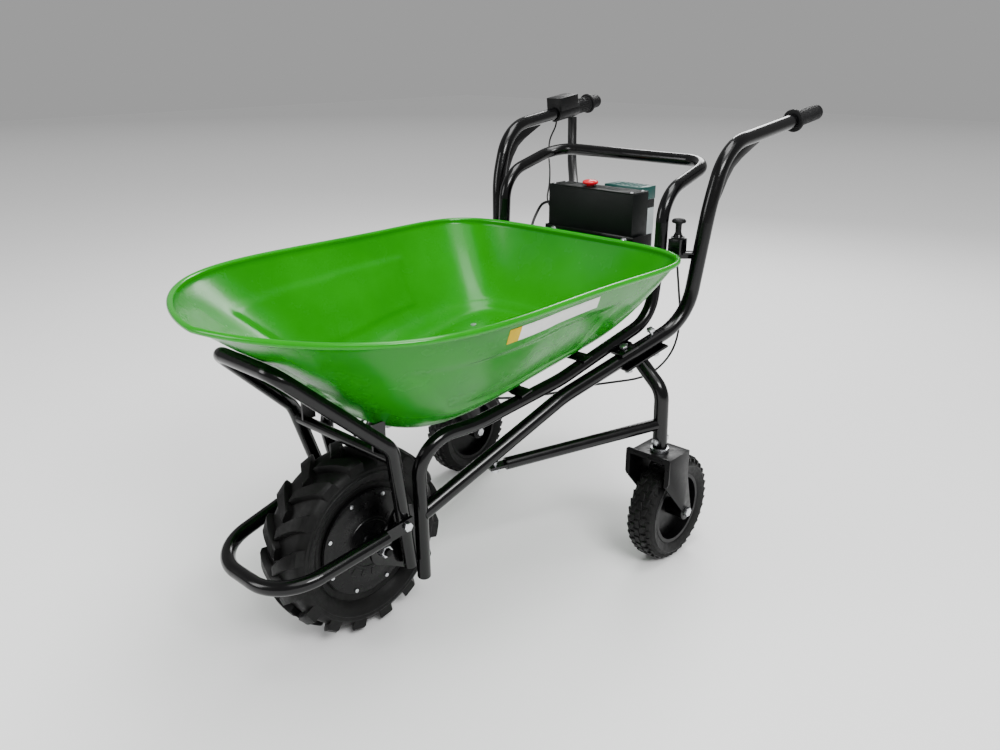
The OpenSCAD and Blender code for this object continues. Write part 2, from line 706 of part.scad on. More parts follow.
module motor_bearings() {
    color("#8d9094")
    for (s = [-1, 1])
        hub_ring(s > 0 ? bearing_y : -bearing_y - bearing_w, s > 0 ? bearing_y + bearing_w : -bearing_y,
            axle_d / 2 + run, bearing_d / 2);
}
module axle_nuts() {
    color("#c9ccd0")
    for (s = [-1, 1]) {
        at_axle(s > 0 ? dropout_out + nut_h + seat : -dropout_out - seat)
            difference() {
                cylinder(h = nut_h, r = 13, $fn = 6);
                translate([0, 0, -1]) cylinder(h = nut_h + 2, r = axle_d / 2 + seam);
            }
        spacer_in = hub_half + 0.6;
        hub_ring(s > 0 ? spacer_in : -dropout_in + seat, s > 0 ? dropout_in - seat : -spacer_in,
            axle_d / 2 + seam, axle_d / 2 + 4);
    }
}
// The drum brake's fixed plate on the right of the hub, and its arm.
plate_y = hub_half + 6;
arm_pivot = axle + [-34, 0, 30];
arm_reach = [-50, 0, 10];
module brake_plate() {
    color("#3a3c40")
    union() {
        hub_ring(-plate_y - 5, -plate_y, axle_d / 2 + 4 + seam, brake_drum_r);
        translate([arm_pivot[0], -plate_y - 4, arm_pivot[2]]) rotate([90, 0, 0]) cylinder(h = 14, r = 4);
        translate([0, -plate_y, 0]) rotate([90, 0, 0]) linear_extrude(height = 5)
            polygon([[axle[0] - 40, axle[2] + 38], [axle[0] - 8, axle[2] + 54],
                [brake_stop[0] + 9, brake_stop[2]], [brake_stop[0] - 9, brake_stop[2]],
                [brake_stop[0] - 9, brake_stop[2] - 14]]);
        translate(brake_stop - [8, 8, 10]) cube([16, 8 + 8, 10]);
    }
}
module brake_arm() {
    end = arm_pivot + arm_reach;
    color("#6a6d72")
    translate([0, -plate_y - 5 - seat, 0]) rotate([90, 0, 0]) linear_extrude(height = 5) difference() {
        union() {
            translate([arm_pivot[0], arm_pivot[2]]) circle(r = 10);
            polygon([[arm_pivot[0], arm_pivot[2] - 9], [arm_pivot[0], arm_pivot[2] + 9],
                [end[0], end[2] + 6], [end[0], end[2] - 6]]);
            translate([end[0], end[2]]) circle(r = 7);
        }
        translate([arm_pivot[0], arm_pivot[2]]) circle(r = 4 + run);
        translate([end[0], end[2]]) circle(r = 3);
    }
}

// ---- casters ----
fork_half = caster_w / 2 + 14;
fork_t = 4;
stem_r = 11;
pin_r = 8;
crown_t = 6;
module caster_stem(right) {
    color("#b9bbbf")
    on_side(right)
    difference() {
        translate([stem_x, stem_y, 0]) {
            translate([0, 0, crown_z - 1 + seat]) cylinder(h = 70, r = stem_r);
            translate([0, 0, crown_z - 1 + seat]) cylinder(h = 8 - seat, r = hr + 4);
            translate([0, 0, crown_z - crown_t - 13]) cylinder(h = crown_t + 14, r = pin_r);
            translate([0, 0, crown_z - crown_t - 10 - seat]) cylinder(h = 9, r = 13, $fn = 6);
        }
        translate([stem_x, stem_y, crown_z + 24]) rotate([0, 90, 0])
            cylinder(h = 80, r = 4 + seam, center = true);
    }
}
module caster_fork(right) {
    boss_r = 20;
    top_z = crown_z - 1;
    plate_x = [stem_x - 46, stem_x + 46];
    color("#1a1b1d")
    on_side(right)
    difference() {
        union() {
            translate([plate_x[0], stem_y - fork_half, top_z - crown_t])
                cube([plate_x[1] - plate_x[0], 2 * fork_half, crown_t]);
            for (s = [-1, 1])
                translate([0, stem_y + s * (fork_half - fork_t / 2), 0]) rotate([90, 0, 0])
                    translate([0, 0, -fork_t / 2]) linear_extrude(height = fork_t) {
                        polygon([[plate_x[0], top_z], [plate_x[1], top_z], [plate_x[1], top_z - 60],
                            [caster_axle[0] + boss_r * 0.9, caster_axle[2] + 8],
                            [caster_axle[0] - boss_r, caster_axle[2]], [plate_x[0], top_z - 60]]);
                        translate([caster_axle[0], caster_axle[2]]) circle(r = boss_r);
                    }
        }
        translate([stem_x, stem_y, 0]) cylinder(h = 400, r = pin_r + run);
        translate([caster_axle[0], stem_y, caster_axle[2]]) rotate([90, 0, 0])
            cylinder(h = 200, r = caster_axle_d / 2 + seam, center = true);
    }
}
module about_caster() {
    translate([caster_axle[0], stem_y, caster_axle[2]]) rotate([90, 0, 0]) children();
}
caster_hub_half = fork_half - fork_t - 1;
caster_rim_r = caster_d / 2 - 42;
module caster_axle_bolt(right) {
    color("#c2c5c9")
    on_side(right)
    about_caster() {
        cylinder(h = 2 * fork_half + 14, r = caster_axle_d / 2, center = true);
        translate([0, 0, -fork_half - 8]) cylinder(h = 7.5, r = 11, $fn = 6);
        translate([0, 0, fork_half + seat]) cylinder(h = 8, r = 11, $fn = 6);
    }
}
module caster_rim(right) {
    color("#2a2b2e")
    on_side(right)
    about_caster() rotate_extrude($fn = 96)
        polygon([[caster_axle_d / 2 + run, -caster_hub_half], [19, -caster_hub_half], [19, -6],
            [caster_rim_r - 8, -4], [caster_rim_r - 8, -caster_w / 2 + 8], [caster_rim_r, -caster_w / 2 + 8],
            [caster_rim_r, caster_w / 2 - 8], [caster_rim_r - 8, caster_w / 2 - 8], [caster_rim_r - 8, 4],
            [19, 6], [19, caster_hub_half], [caster_axle_d / 2 + run, caster_hub_half]]);
}
module caster_tyre(right) {
    inner = caster_rim_r + seam;
    half = caster_w / 2;
    color("#1d1d1e")
    on_side(right)
    about_caster() rotate_extrude($fn = 120)
        polygon([[inner, -half + 8], [inner + 8, -half + 3], [inner + 20, -half], [caster_d / 2 - 14, -half],
            [caster_d / 2 - 5, -half + 5], [caster_d / 2 - 1, -half + 14], [caster_d / 2, -half / 3],
            [caster_d / 2, half / 3], [caster_d / 2 - 1, half - 14], [caster_d / 2 - 5, half - 5],
            [caster_d / 2 - 14, half], [inner + 20, half], [inner + 8, half - 3], [inner, half - 8]]);
}

// ---- fasteners of the frame ----
module frame_bolts() {
    color("#c9ccd0")
    for (m = [0, 1]) on_side(m == 1) {
        for (p = [bolt_a, bolt_b]) bolt(p, main_up, clamp_bolt_r, hr + 8, hr + 14);
        bolt(guard_start, guard_out, 5, guard_flat / 2 + seat, guard_flat / 2 - 8, nut = false);
        translate([stem_x - hr - 8, stem_y, crown_z + 24]) rotate([0, 90, 0]) {
            cylinder(h = 2 * hr + 16, r = 4);
            cylinder(h = 7, r = 8, $fn = 6);
            translate([0, 0, 2 * hr + 9]) cylinder(h = 7, r = 8, $fn = 6);
        }
        translate(brace_end) {
            translate([0, 0, -8]) cylinder(h = 17.4, r = 4);
            translate([0, 0, -12]) cylinder(h = 7, r = 8, $fn = 6);
        }
    }
}

// ---- controls ----
bracket_t = 3;
bracket_half = box_w / 2 + 8;
plate_h = 78;
cross_z = batt_top - batt_h - seat;
cross_at = on_line(rail_c, riser_mid, -237);
module box_bracket() {
    cross = [cross_at[0], cross_at[1], cross_at[2] + 4];
    color("#1b1c1f")
    difference() {
        union() {
            bar(cross, flip(cross), 10);
            translate([box_front + seat, -bracket_half, cross_z])
                cube([bracket_t, 2 * bracket_half, plate_h]);
            for (s = [-1, 1])
                translate([box_rear - 10, s > 0 ? bracket_half - bracket_t : -bracket_half, cross_z])
                    cube([box_front - box_rear + 10 + bracket_t, bracket_t, plate_h]);
            translate([batt_front - batt_d - 8, -bracket_half, cross_z - bracket_t])
                cube([box_front - batt_front + batt_d + 8 + bracket_t, 2 * bracket_half, bracket_t]);
            for (s = [-1, 1])
                translate([box_front + seat + 1, s * 80 - 12, cross[2] - 7])
                    cube([cross[0] - box_front - 8, 24, 14]);
        }
        for (m = [0, 1]) on_side(m == 1) {
            bar(rail_c, riser_mid, rr + seam);
            elbow(rail_b, rail_c, riser_mid, rail_bends[3], rr + seam);
        }
    }
}
box_z = box_top - box_h;
module control_box() {
    lid_t = 3;
    color("#101512")
    difference() {
        translate([box_rear, -box_w / 2, box_z]) cube([box_d - seat, box_w, box_h - lid_t]);
        translate([box_rear + box_wall, -box_w / 2 + box_wall, box_z + box_wall])
            cube([box_d - 2 * box_wall - seat, box_w - 2 * box_wall, box_h]);
        translate([box_rear - 1, sleeve_entry[0], sleeve_entry[1]]) rotate([0, 90, 0])
            cylinder(h = 8, r = sleeve_r + seat);
        for (hole = [[throttle_entry, throttle_cable_r], [motor_entry, motor_cable_r]])
            translate([hole[0][0], -box_w / 2 - 1, hole[0][1]]) rotate([-90, 0, 0])
                cylinder(h = box_wall + 2, r = hole[1] + seat);
    }
}
module control_lid() {
    lid_t = 3;
    color("#141a17")
    difference() {
        translate([box_rear, -box_w / 2, box_top - lid_t + seam]) cube([box_d - seat, box_w, lid_t]);
        translate([button[0], button[1], box_top - 10]) cylinder(h = 20, r = button_stem_r + seat);
    }
}
button_stem_r = 9;
module control_board() {
    lo = [box_rear + 12, -100, box_z + box_wall + 8];
    color("#1f6b3a")
    union() {
        translate(lo) cube([4, 150, 60]);
        for (z = [lo[2] + 6, lo[2] + 50]) for (y = [-90, 40])
            translate([box_rear + box_wall + seam, y, z]) rotate([0, 90, 0]) cylinder(h = 10, r = 3);
        translate(lo + [3.9, 20, 12]) cube([14, 60, 34]);
    }
}
module red_button() {
    cap_z = box_top + button_travel + 1;
    color("#c8102e")
    translate([button[0], button[1], 0]) rotate_extrude()
        polygon([[0, box_top - 20], [button_stem_r, box_top - 20], [button_stem_r, cap_z],
            [button_head_d / 2 - 3, cap_z], [button_head_d / 2, cap_z + 3],
            [button_head_d / 2 - 2, cap_z + 7], [button_head_d / 2 - 8, cap_z + 10], [0, cap_z + 11]]);
}
band_h = 30;
module battery_case() {
    lo = [batt_front - batt_d, batt_mid_y - batt_w / 2, batt_top - batt_h];
    color("#9aa6a6")
    difference() {
        translate(lo) cube([batt_d, batt_w, batt_h - band_h]);
        translate(lo + [box_wall, box_wall, box_wall])
            cube([batt_d - 2 * box_wall, batt_w - 2 * box_wall, batt_h]);
    }
}
module battery_lid() {
    lo = [batt_front - batt_d - 1, batt_mid_y - batt_w / 2 - 1, batt_top - band_h + seam];
    color("#0d3b36")
    difference() {
        translate(lo) cube([batt_d + 2, batt_w + 2, band_h]);
        translate(lo + [box_wall, box_wall, -1]) cube([batt_d + 2 - 2 * box_wall, batt_w + 2 - 2 * box_wall,
            band_h - box_wall]);
    }
}
grip_flange_d = 52;
module grip(right) {
    length = right ? 46 : grip_len;
    root = handle_tip - hand_dir * length;
    color("#222325")
    on_side(right) {
        difference() {
            union() {
                bar(root, handle_tip + hand_dir * 3, grip_d / 2);
                bar(root, root + hand_dir * 8, grip_flange_d / 2);
            }
            bar(root - hand_dir, handle_tip + hand_dir * seam, hr + seam);
        }
    }
}
// The throttle's fixed housing and the twist grip outside it, on the right handle.
housing_len = 92;
twist_len = 58;
module throttle_housing() {
    root = flip(handle_tip - hand_dir * (46 + seat + twist_len + seat + housing_len));
    d = flip(hand_dir);
    up = unit([0, 0, 1] - d * d[2]);
    color("#1a1b1d")
    difference() {
        multmatrix(cols(d, cross(up, d), up, root)) union() {
            rotate([0, 90, 0]) cylinder(h = housing_len, r = hr + 6);
            translate([2, -24, 6]) cube([housing_len - 14, 48, 34]);
        }
        bar(root - d * 10, root + d * (housing_len + 10), hr + seam);
    }
}
module throttle_grip() {
    root = flip(handle_tip - hand_dir * (46 + seat + twist_len));
    d = flip(hand_dir);
    color("#242527")
    difference() {
        bar(root, root + d * twist_len, grip_d / 2 + 3);
        bar(root - d, root + d * (twist_len + 1), hr + run + seam);
    }
}
knob_plate_t = 4;
module knob_bracket() {
    riser = on_line_z(rail_c, riser_mid, knob_plate_z);
    tube = on_line_z(handle_b, handle_c, knob_plate_z);
    color("#1b1c1f")
    difference() {
        union() {
            translate([0, 0, knob_plate_z]) linear_extrude(height = knob_plate_t)
                polygon([[riser[0] + 16, riser[1] + 4], [riser[0] - 14, riser[1] + 4],
                    [tube[0] - 12, tube[1] - 4], [tube[0] + 18, tube[1] - 4]]);
            translate([0, 0, knob_plate_z - 14]) linear_extrude(height = 14 + eps)
                polygon([[riser[0] - 12, riser[1] + 4], [riser[0] - 16, riser[1] + 4],
                    [tube[0] - 14, tube[1] - 4], [tube[0] - 10, tube[1] - 4]]);
            translate([knob[0], knob[1], knob_plate_z]) {
                translate([-14.5, -14.5, 0]) cube([29, 29, 34]);
                translate([0, 0, 34 - eps]) cylinder(h = 9, r1 = 12, r2 = 9);
            }
        }
        translate([knob[0], knob[1], knob_plate_z - 20]) cylinder(h = 80, r = 5 + run);
        bar(rail_c, riser_mid, rr + seam);
        bar(handle_b, handle_c, hr + seam);
    }
}
function on_line_z(a, b, z) = a + (b - a) * (z - a[2]) / (b[2] - a[2]);
module brake_knob() {
    base = knob_plate_z + 34 + 9 + seat;
    color("#1a1b1d")
    translate([knob[0], knob[1], 0]) rotate_extrude()
        polygon([[0, knob_plate_z + 4], [5, knob_plate_z + 4], [5, base], [8, base], [6.5, base + 4],
            [6.5, base + 22], [13, base + 24], [15.5, base + 28], [13, base + 32], [0, base + 34]]);
}
module brake_cable() { color("#111214") cable(brake_route, brake_cable_r, 8, 3); }
module throttle_cable() { color("#111214") cable(throttle_route, throttle_cable_r, 8, 4); }
module motor_cable() { color("#111214") cable(motor_route, motor_cable_r, 8, 3); }
module harness_sleeve() { color("#151617") cable(sleeve_route, sleeve_r, 12, 4); }

handle_tube(false);  // handle_tube_left
handle_tube(true);  // handle_tube_right
rail(false);  // rail_left
rail(true);  // rail_right
rear_hoop();
front_support();
fork_bridge();
dropout(false);  // dropout_left
dropout(true);  // dropout_right
guard_hoop();
caster_leg(false);  // caster_leg_left
caster_leg(true);  // caster_leg_right
leg_brace(false);  // leg_brace_left
leg_brace(true);  // leg_brace_right
gusset(false);  // gusset_left
gusset(true);  // gusset_right
joint_plates();
tub();
tub_straps();
tub_bolts();
frame_bolts();
axle_nuts();
motor_axle();
stator();
brake_plate();
drive_tyre();
drive_rim();
motor_cover(false);  // motor_cover_left
motor_cover(true);  // motor_cover_right
cover_screws();
magnet_ring();
motor_bearings();
caster_stem(false);  // caster_stem_left
caster_stem(true);  // caster_stem_right
caster_fork(false);  // caster_fork_left
caster_fork(true);  // caster_fork_right
caster_axle_bolt(false);  // caster_axle_left
caster_axle_bolt(true);  // caster_axle_right
caster_rim(false);  // caster_rim_left
caster_rim(true);  // caster_rim_right
caster_tyre(false);  // caster_tyre_left
caster_tyre(true);  // caster_tyre_right
box_bracket();
control_box();
control_lid();
control_board();
battery_case();
battery_lid();
red_button();
grip(false);  // grip_left
grip(true);  // grip_right
throttle_housing();
throttle_grip();
knob_bracket();
brake_knob();
brake_arm();
brake_cable();
throttle_cable();
motor_cable();
harness_sleeve();
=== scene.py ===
"""Looks of the power wheelbarrow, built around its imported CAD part. Everything is in metres."""

import json
import math

import bmesh
import bpy
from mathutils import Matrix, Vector


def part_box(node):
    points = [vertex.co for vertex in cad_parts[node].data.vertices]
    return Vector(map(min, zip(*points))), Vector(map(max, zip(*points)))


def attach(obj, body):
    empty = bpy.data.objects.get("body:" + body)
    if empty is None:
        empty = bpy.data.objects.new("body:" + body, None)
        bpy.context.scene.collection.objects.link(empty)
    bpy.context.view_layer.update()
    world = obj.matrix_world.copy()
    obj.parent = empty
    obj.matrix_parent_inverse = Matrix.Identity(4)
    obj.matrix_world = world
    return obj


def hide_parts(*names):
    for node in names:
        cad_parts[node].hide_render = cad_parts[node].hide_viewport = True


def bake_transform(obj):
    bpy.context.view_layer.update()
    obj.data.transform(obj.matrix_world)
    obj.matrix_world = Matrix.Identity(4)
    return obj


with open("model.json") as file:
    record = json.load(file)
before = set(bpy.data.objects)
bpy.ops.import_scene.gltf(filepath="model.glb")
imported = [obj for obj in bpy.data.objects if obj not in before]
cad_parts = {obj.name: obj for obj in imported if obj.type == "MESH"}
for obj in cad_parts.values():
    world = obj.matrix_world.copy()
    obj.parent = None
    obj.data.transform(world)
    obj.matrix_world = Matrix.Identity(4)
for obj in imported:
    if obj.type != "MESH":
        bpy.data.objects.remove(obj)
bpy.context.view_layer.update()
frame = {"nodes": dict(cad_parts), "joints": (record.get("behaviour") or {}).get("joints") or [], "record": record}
NODES = frame["nodes"]
SLOT_OF = {p["node"]: p["material_slot"] for p in frame["record"]["subparts"]}
FRAME = "frame"


# ---- materials ----
def new_material(name):
    m = bpy.data.materials.new(name)
    m.use_nodes = True
    tree = m.node_tree
    return m, tree, tree.nodes["Principled BSDF"]


def link(tree, a, b):
    tree.links.new(a, b)


def noise(tree, scale, detail=4.0, stretch=(1, 1, 1), rough=0.55):
    coord = tree.nodes.new("ShaderNodeTexCoord")
    place = tree.nodes.new("ShaderNodeMapping")
    place.inputs["Scale"].default_value = stretch
    n = tree.nodes.new("ShaderNodeTexNoise")
    n.inputs["Scale"].default_value = scale
    n.inputs["Detail"].default_value = detail
    n.inputs["Roughness"].default_value = rough
    link(tree, coord.outputs["Object"], place.inputs["Vector"])
    link(tree, place.outputs["Vector"], n.inputs["Vector"])
    return n.outputs["Fac"]


def ramp(tree, factor, stops):
    r = tree.nodes.new("ShaderNodeValToRGB")
    while len(r.color_ramp.elements) < len(stops):
        r.color_ramp.elements.new(0.5)
    for e, (at, colour) in zip(r.color_ramp.elements, stops):
        e.position = at
        e.color = (*colour, 1)
    link(tree, factor, r.inputs["Fac"])
    return r.outputs["Color"]


def spread(tree, factor, low, high):
    r = tree.nodes.new("ShaderNodeMapRange")
    r.inputs["From Min"].default_value = 0.3
    r.inputs["From Max"].default_value = 0.7
    r.inputs["To Min"].default_value = low
    r.inputs["To Max"].default_value = high
    link(tree, factor, r.inputs["Value"])
    return r.outputs["Result"]


def bump(tree, bsdf, height, strength, distance, under=None):
    b = tree.nodes.new("ShaderNodeBump")
    b.inputs["Strength"].default_value = strength
    b.inputs["Distance"].default_value = distance
    link(tree, height, b.inputs["Height"])
    if under is not None:
        link(tree, under, b.inputs["Normal"])
    link(tree, b.outputs["Normal"], bsdf.inputs["Normal"])
    return b.outputs["Normal"]


def finish(name, dark, light, rough, metallic=0.0, coat=0.0, blotch=9, grain=500, relief=0.1, deep=0.0003,
           stretch=(1, 1, 1), specular=0.5):
    """One surface: colour drifting from dark to light, uneven gloss, and a fine relief."""
    m, tree, bsdf = new_material(name)
    bsdf.inputs["Metallic"].default_value = metallic
    bsdf.inputs["Specular IOR Level"].default_value = specular
    bsdf.inputs["Coat Weight"].default_value = coat
    bsdf.inputs["Coat Roughness"].default_value = 0.06
    drift = noise(tree, blotch)
    link(tree, ramp(tree, drift, [(0.32, dark), (0.68, light)]), bsdf.inputs["Base Color"])
    fine = noise(tree, grain, 3.0, stretch)
    mottled = noise(tree, blotch * 5, 5.0)
    link(tree, spread(tree, mottled, *rough), bsdf.inputs["Roughness"])
    wave = bump(tree, bsdf, mottled, relief * 0.25, deep * 2)
    bump(tree, bsdf, fine, relief, deep, wave)
    return m


MATERIALS = {
    "frame_paint": finish("frame_paint", (0.0006, 0.0006, 0.0008), (0.0016, 0.0016, 0.0018), (0.13, 0.22),
                          blotch=6, grain=260, relief=0.05, deep=0.0002, specular=0.34),
    "tub_paint": finish("tub_paint", (0.0, 0.170, 0.0), (0.002, 0.225, 0.0), (0.20, 0.30),
                        coat=0.06, blotch=3.5, grain=240, relief=0.04, deep=0.0002, specular=0.22),
    "zinc": finish("zinc", (0.50, 0.51, 0.53), (0.72, 0.73, 0.75), (0.22, 0.40), metallic=1.0,
                   blotch=60, grain=1500, relief=0.15),
    "dark_steel": finish("dark_steel", (0.0008, 0.0008, 0.001), (0.0022, 0.0022, 0.0024), (0.26, 0.40),
                         blotch=14, grain=600, relief=0.15, specular=0.16),
    "copper": finish("copper", (0.42, 0.16, 0.06), (0.62, 0.28, 0.12), (0.3, 0.45), metallic=0.9, blotch=40),
    "tyre_rubber": finish("tyre_rubber", (0.0012, 0.0012, 0.0012), (0.0045, 0.0045, 0.0043), (0.42, 0.62),
                          blotch=22, grain=900, relief=0.35, deep=0.0004, specular=0.20),
    "cast_cover": finish("cast_cover", (0.0008, 0.0008, 0.001), (0.0026, 0.0026, 0.0028), (0.24, 0.36),
                         blotch=18, grain=1400, relief=0.3, deep=0.0003, specular=0.22),
    "rubber": finish("rubber", (0.0015, 0.0015, 0.0018), (0.0045, 0.0045, 0.005), (0.50, 0.66),
                     blotch=30, grain=1600, relief=0.35, deep=0.0003, specular=0.22),
    "cable_jacket": finish("cable_jacket", (0.0015, 0.0015, 0.0018), (0.004, 0.004, 0.0045), (0.36, 0.5),
                           blotch=30, grain=700, relief=0.15, specular=0.3),
    "box_plastic": finish("box_plastic", (0.0004, 0.0013, 0.0009), (0.0012, 0.0028, 0.0021), (0.36, 0.48),
                          blotch=14, grain=1800, relief=0.35, deep=0.00025, specular=0.16),
    "battery_grey": finish("battery_grey", (0.34, 0.39, 0.39), (0.46, 0.51, 0.51), (0.38, 0.5),
                           blotch=12, grain=1600, relief=0.3, deep=0.0002, specular=0.3),
    "battery_teal": finish("battery_teal", (0.003, 0.045, 0.038), (0.006, 0.068, 0.058), (0.30, 0.42),
                           blotch=14, grain=1600, relief=0.3, deep=0.0002, specular=0.25),
    "red_plastic": finish("red_plastic", (0.52, 0.002, 0.012), (0.66, 0.004, 0.02), (0.14, 0.24),
                          coat=0.3, blotch=40, grain=900, relief=0.06, specular=0.3),
    "circuit": finish("circuit", (0.02, 0.16, 0.06), (0.04, 0.26, 0.10), (0.3, 0.45), blotch=60),
    "black_plastic": finish("black_plastic", (0.001, 0.001, 0.0012), (0.003, 0.003, 0.0034), (0.40, 0.55),
                            blotch=20, grain=1700, relief=0.45, deep=0.0003, specular=0.2),
}
# The rim bead's paint is the tub's green made lighter: a painted highlight along the rolled rim.
BEAD_PAINTED_HIGHLIGHT = finish("tub_bead_painted_highlight", (0.001, 0.20, 0.0), (0.004, 0.27, 0.001), (0.18, 0.26),
                    coat=0.15, blotch=5, grain=240, relief=0.05, deep=0.0002, specular=0.3)
STRIP_WHITE = finish("strip_white", (0.66, 0.67, 0.65), (0.74, 0.75, 0.73), (0.45, 0.6), blotch=30, specular=0.2)
STRIP_YELLOW = finish("strip_yellow", (0.50, 0.33, 0.0), (0.58, 0.39, 0.001), (0.45, 0.6), blotch=30,
                      specular=0.15)

for node_name, node in NODES.items():
    material = MATERIALS[SLOT_OF[node_name]]
    if not node.material_slots:
        node.data.materials.append(material)
    for material_slot in node.material_slots:
        material_slot.material = material


# ---- making pieces ----
def body_of_node(name):
    for body, nodes in frame["record"]["behaviour"]["bodies"].items():
        if name in nodes:
            return body
    return FRAME


def piece(name, verts, faces, body, slot, replaced=(), material=None, angle=35):
    """A new mesh piece with smooth faces that stay crisp over sharp edges."""
    mesh = bpy.data.meshes.new(name)
    mesh.from_pydata([tuple(v) for v in verts], [], faces)
    mesh.update()
    obj = bpy.data.objects.new(name, mesh)
    bpy.context.scene.collection.objects.link(obj)
    obj.data.materials.append(material or MATERIALS[slot])
    shade(obj, angle)
    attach(obj, body)
    if replaced:
        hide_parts(*replaced)
    return obj


def shade(obj, angle):
    bm = bmesh.new()
    bm.from_mesh(obj.data)
    bmesh.ops.recalc_face_normals(bm, faces=bm.faces)
    limit = math.radians(angle)
    for f in bm.faces:
        f.smooth = True
    for e in bm.edges:
        e.smooth = not (len(e.link_faces) == 2 and e.calc_face_angle(0) > limit)
    bm.to_mesh(obj.data)
    bm.free()


def softened(node_name, width, angle=35, segments=2):
    """A CAD node's copy with rounded edges, which stands for it."""
    bm = bmesh.new()
    bm.from_mesh(NODES[node_name].data)
    bmesh.ops.remove_doubles(bm, verts=bm.verts, dist=1e-6)
    bmesh.ops.dissolve_limit(bm, angle_limit=math.radians(1.0), verts=bm.verts, edges=bm.edges)
    mesh = bpy.data.meshes.new(node_name + "_looks")
    bm.to_mesh(mesh)
    bm.free()
    obj = bpy.data.objects.new(node_name + "_looks", mesh)
    bpy.context.scene.collection.objects.link(obj)
    obj.data.materials.append(MATERIALS[SLOT_OF[node_name]])
    if width:
        bevel = obj.modifiers.new("edges", "BEVEL")
        bevel.width = width
        bevel.segments = segments
        bevel.limit_method = "ANGLE"
        bevel.angle_limit = math.radians(angle)
        bevel.use_clamp_overlap = True
        bevel.harden_normals = False
        bpy.context.view_layer.update()
        done = bpy.data.meshes.new_from_object(obj.evaluated_get(bpy.context.evaluated_depsgraph_get()))
        obj.modifiers.clear()
        obj.data = done
    shade(obj, angle)
    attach(obj, body_of_node(node_name))
    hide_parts(node_name)
    return obj


def axes(direction):
    """Two directions square to this one, and the direction itself."""
    w = Vector(direction).normalized()
    u = w.cross(Vector((0, 0, 1)) if abs(w.z) < 0.9 else Vector((1, 0, 0))).normalized()
    return u, w.cross(u), w


def lathe(profile, centre, direction, count=96, closed=True):
    """Verts and faces of a profile of (radius, distance along) turned about an axis."""
    u, v, w = axes(direction)
    c = Vector(centre)
    verts, faces = [], []
    n = len(profile)
    for k in range(count):
        a = math.tau * k / count
        out = u * math.cos(a) + v * math.sin(a)
        verts += [c + out * r + w * h for r, h in profile]
    for k in range(count):
        a, b = k * n, (k + 1) % count * n
        for i in range(n if closed else n - 1):
            j = (i + 1) % n
            faces.append((a + i, a + j, b + j, b + i))
    if not closed:
        faces.append(tuple(k * n for k in range(count)))
        faces.append(tuple(k * n + n - 1 for k in reversed(range(count))))
    return verts, faces


def rounded(profile, radius, steps=3):
    """The profile with its corners rounded, where there is room."""
    out = []
    n = len(profile)
    for i in range(n):
        a, b, c = (Vector(profile[(i + d) % n]) for d in (-1, 0, 1))
        da, dc = a - b, c - b
        r = min(radius, da.length * 0.45, dc.length * 0.45)
        p, q = b + da.normalized() * r, b + dc.normalized() * r
        out += [tuple((1 - t) ** 2 * p + 2 * t * (1 - t) * b + t * t * q) for t in
                [s / steps for s in range(steps + 1)]]
    return out


class Shape:
    """Verts and faces gathered from several parts into one piece."""

    def __init__(self):
        self.verts, self.faces = [], []

    def add(self, part):
        base = len(self.verts)
        self.verts += part[0]
        self.faces += [tuple(base + i for i in f) for f in part[1]]
        return self


def block(stations):
    """A solid from rings of equal count, capped at both ends."""
    n = len(stations[0])
    verts = [p for ring in stations for p in ring]
    faces = [(k * n + i, k * n + (i + 1) % n, (k + 1) * n + (i + 1) % n, (k + 1) * n + i)
             for k in range(len(stations) - 1) for i in range(n)]
    faces.append(tuple(range(n)))
    faces.append(tuple((len(stations) - 1) * n + i for i in reversed(range(n))))
    return verts, faces


def hexagon(centre, direction, radius, height):
    """A bolt head: a hexagon with its corners turned down."""
    profile = [(radius * 0.3, height), (radius * 0.86, height), (radius, height * 0.78), (radius, 0)]
    return lathe(profile, centre, direction, 6, closed=False)


# ---- stage, light and camera ----
camera = bpy.data.objects.new("camera", bpy.data.cameras.new("camera"))
bpy.context.scene.collection.objects.link(camera)
bpy.context.scene.camera = camera
CAMERA_AT = Vector((1.40098, 1.28046, 1.11905))
CAMERA_LOOKS = Vector((-0.6880, -0.6365, -0.3484))
camera.location = CAMERA_AT
camera.rotation_euler = CAMERA_LOOKS.to_track_quat("-Z", "Y").to_euler()
camera.data.lens = 32.12
camera.data.sensor_width = 36.0
camera.data.clip_end = 60.0

FLOOR_HALF = 14.0
floor_mesh = bpy.data.meshes.new("floor")
floor_mesh.from_pydata([(x * FLOOR_HALF, y * FLOOR_HALF, -0.0005) for x, y in
                        ((-1, -1), (1, -1), (1, 1), (-1, 1))], [], [(0, 1, 2, 3)])
floor = bpy.data.objects.new("floor", floor_mesh)
bpy.context.scene.collection.objects.link(floor)


def floor_paper_painted_shade():
    """Pale paper with painted shade that greys it slowly towards the far edge, where it meets the sky."""
    m, tree, bsdf = new_material("floor_paper_painted_shade")
    coord = tree.nodes.new("ShaderNodeTexCoord")
    place = tree.nodes.new("ShaderNodeMapping")
    place.inputs["Scale"].default_value = (1 / FLOOR_HALF, 1 / FLOOR_HALF, 0)
    rings = tree.nodes.new("ShaderNodeTexGradient")
    rings.gradient_type = "SPHERICAL"
    link(tree, coord.outputs["Object"], place.inputs["Vector"])
    link(tree, place.outputs["Vector"], rings.inputs["Vector"])
    # Painted shade: the floor's colour darkens from the middle out to the far edge, standing in for light falling
    # off.
    painted_shade_stops = [(0.02, (0.50, 0.50, 0.50)), (0.45, (0.72, 0.72, 0.72)), (0.80, (0.88, 0.88, 0.88))]
    link(tree, ramp(tree, rings.outputs["Fac"], painted_shade_stops), bsdf.inputs["Base Color"])
    link(tree, spread(tree, noise(tree, 2), 0.8, 0.9), bsdf.inputs["Roughness"])
    bsdf.inputs["Specular IOR Level"].default_value = 0.2
    return m


floor.data.materials.append(floor_paper_painted_shade())


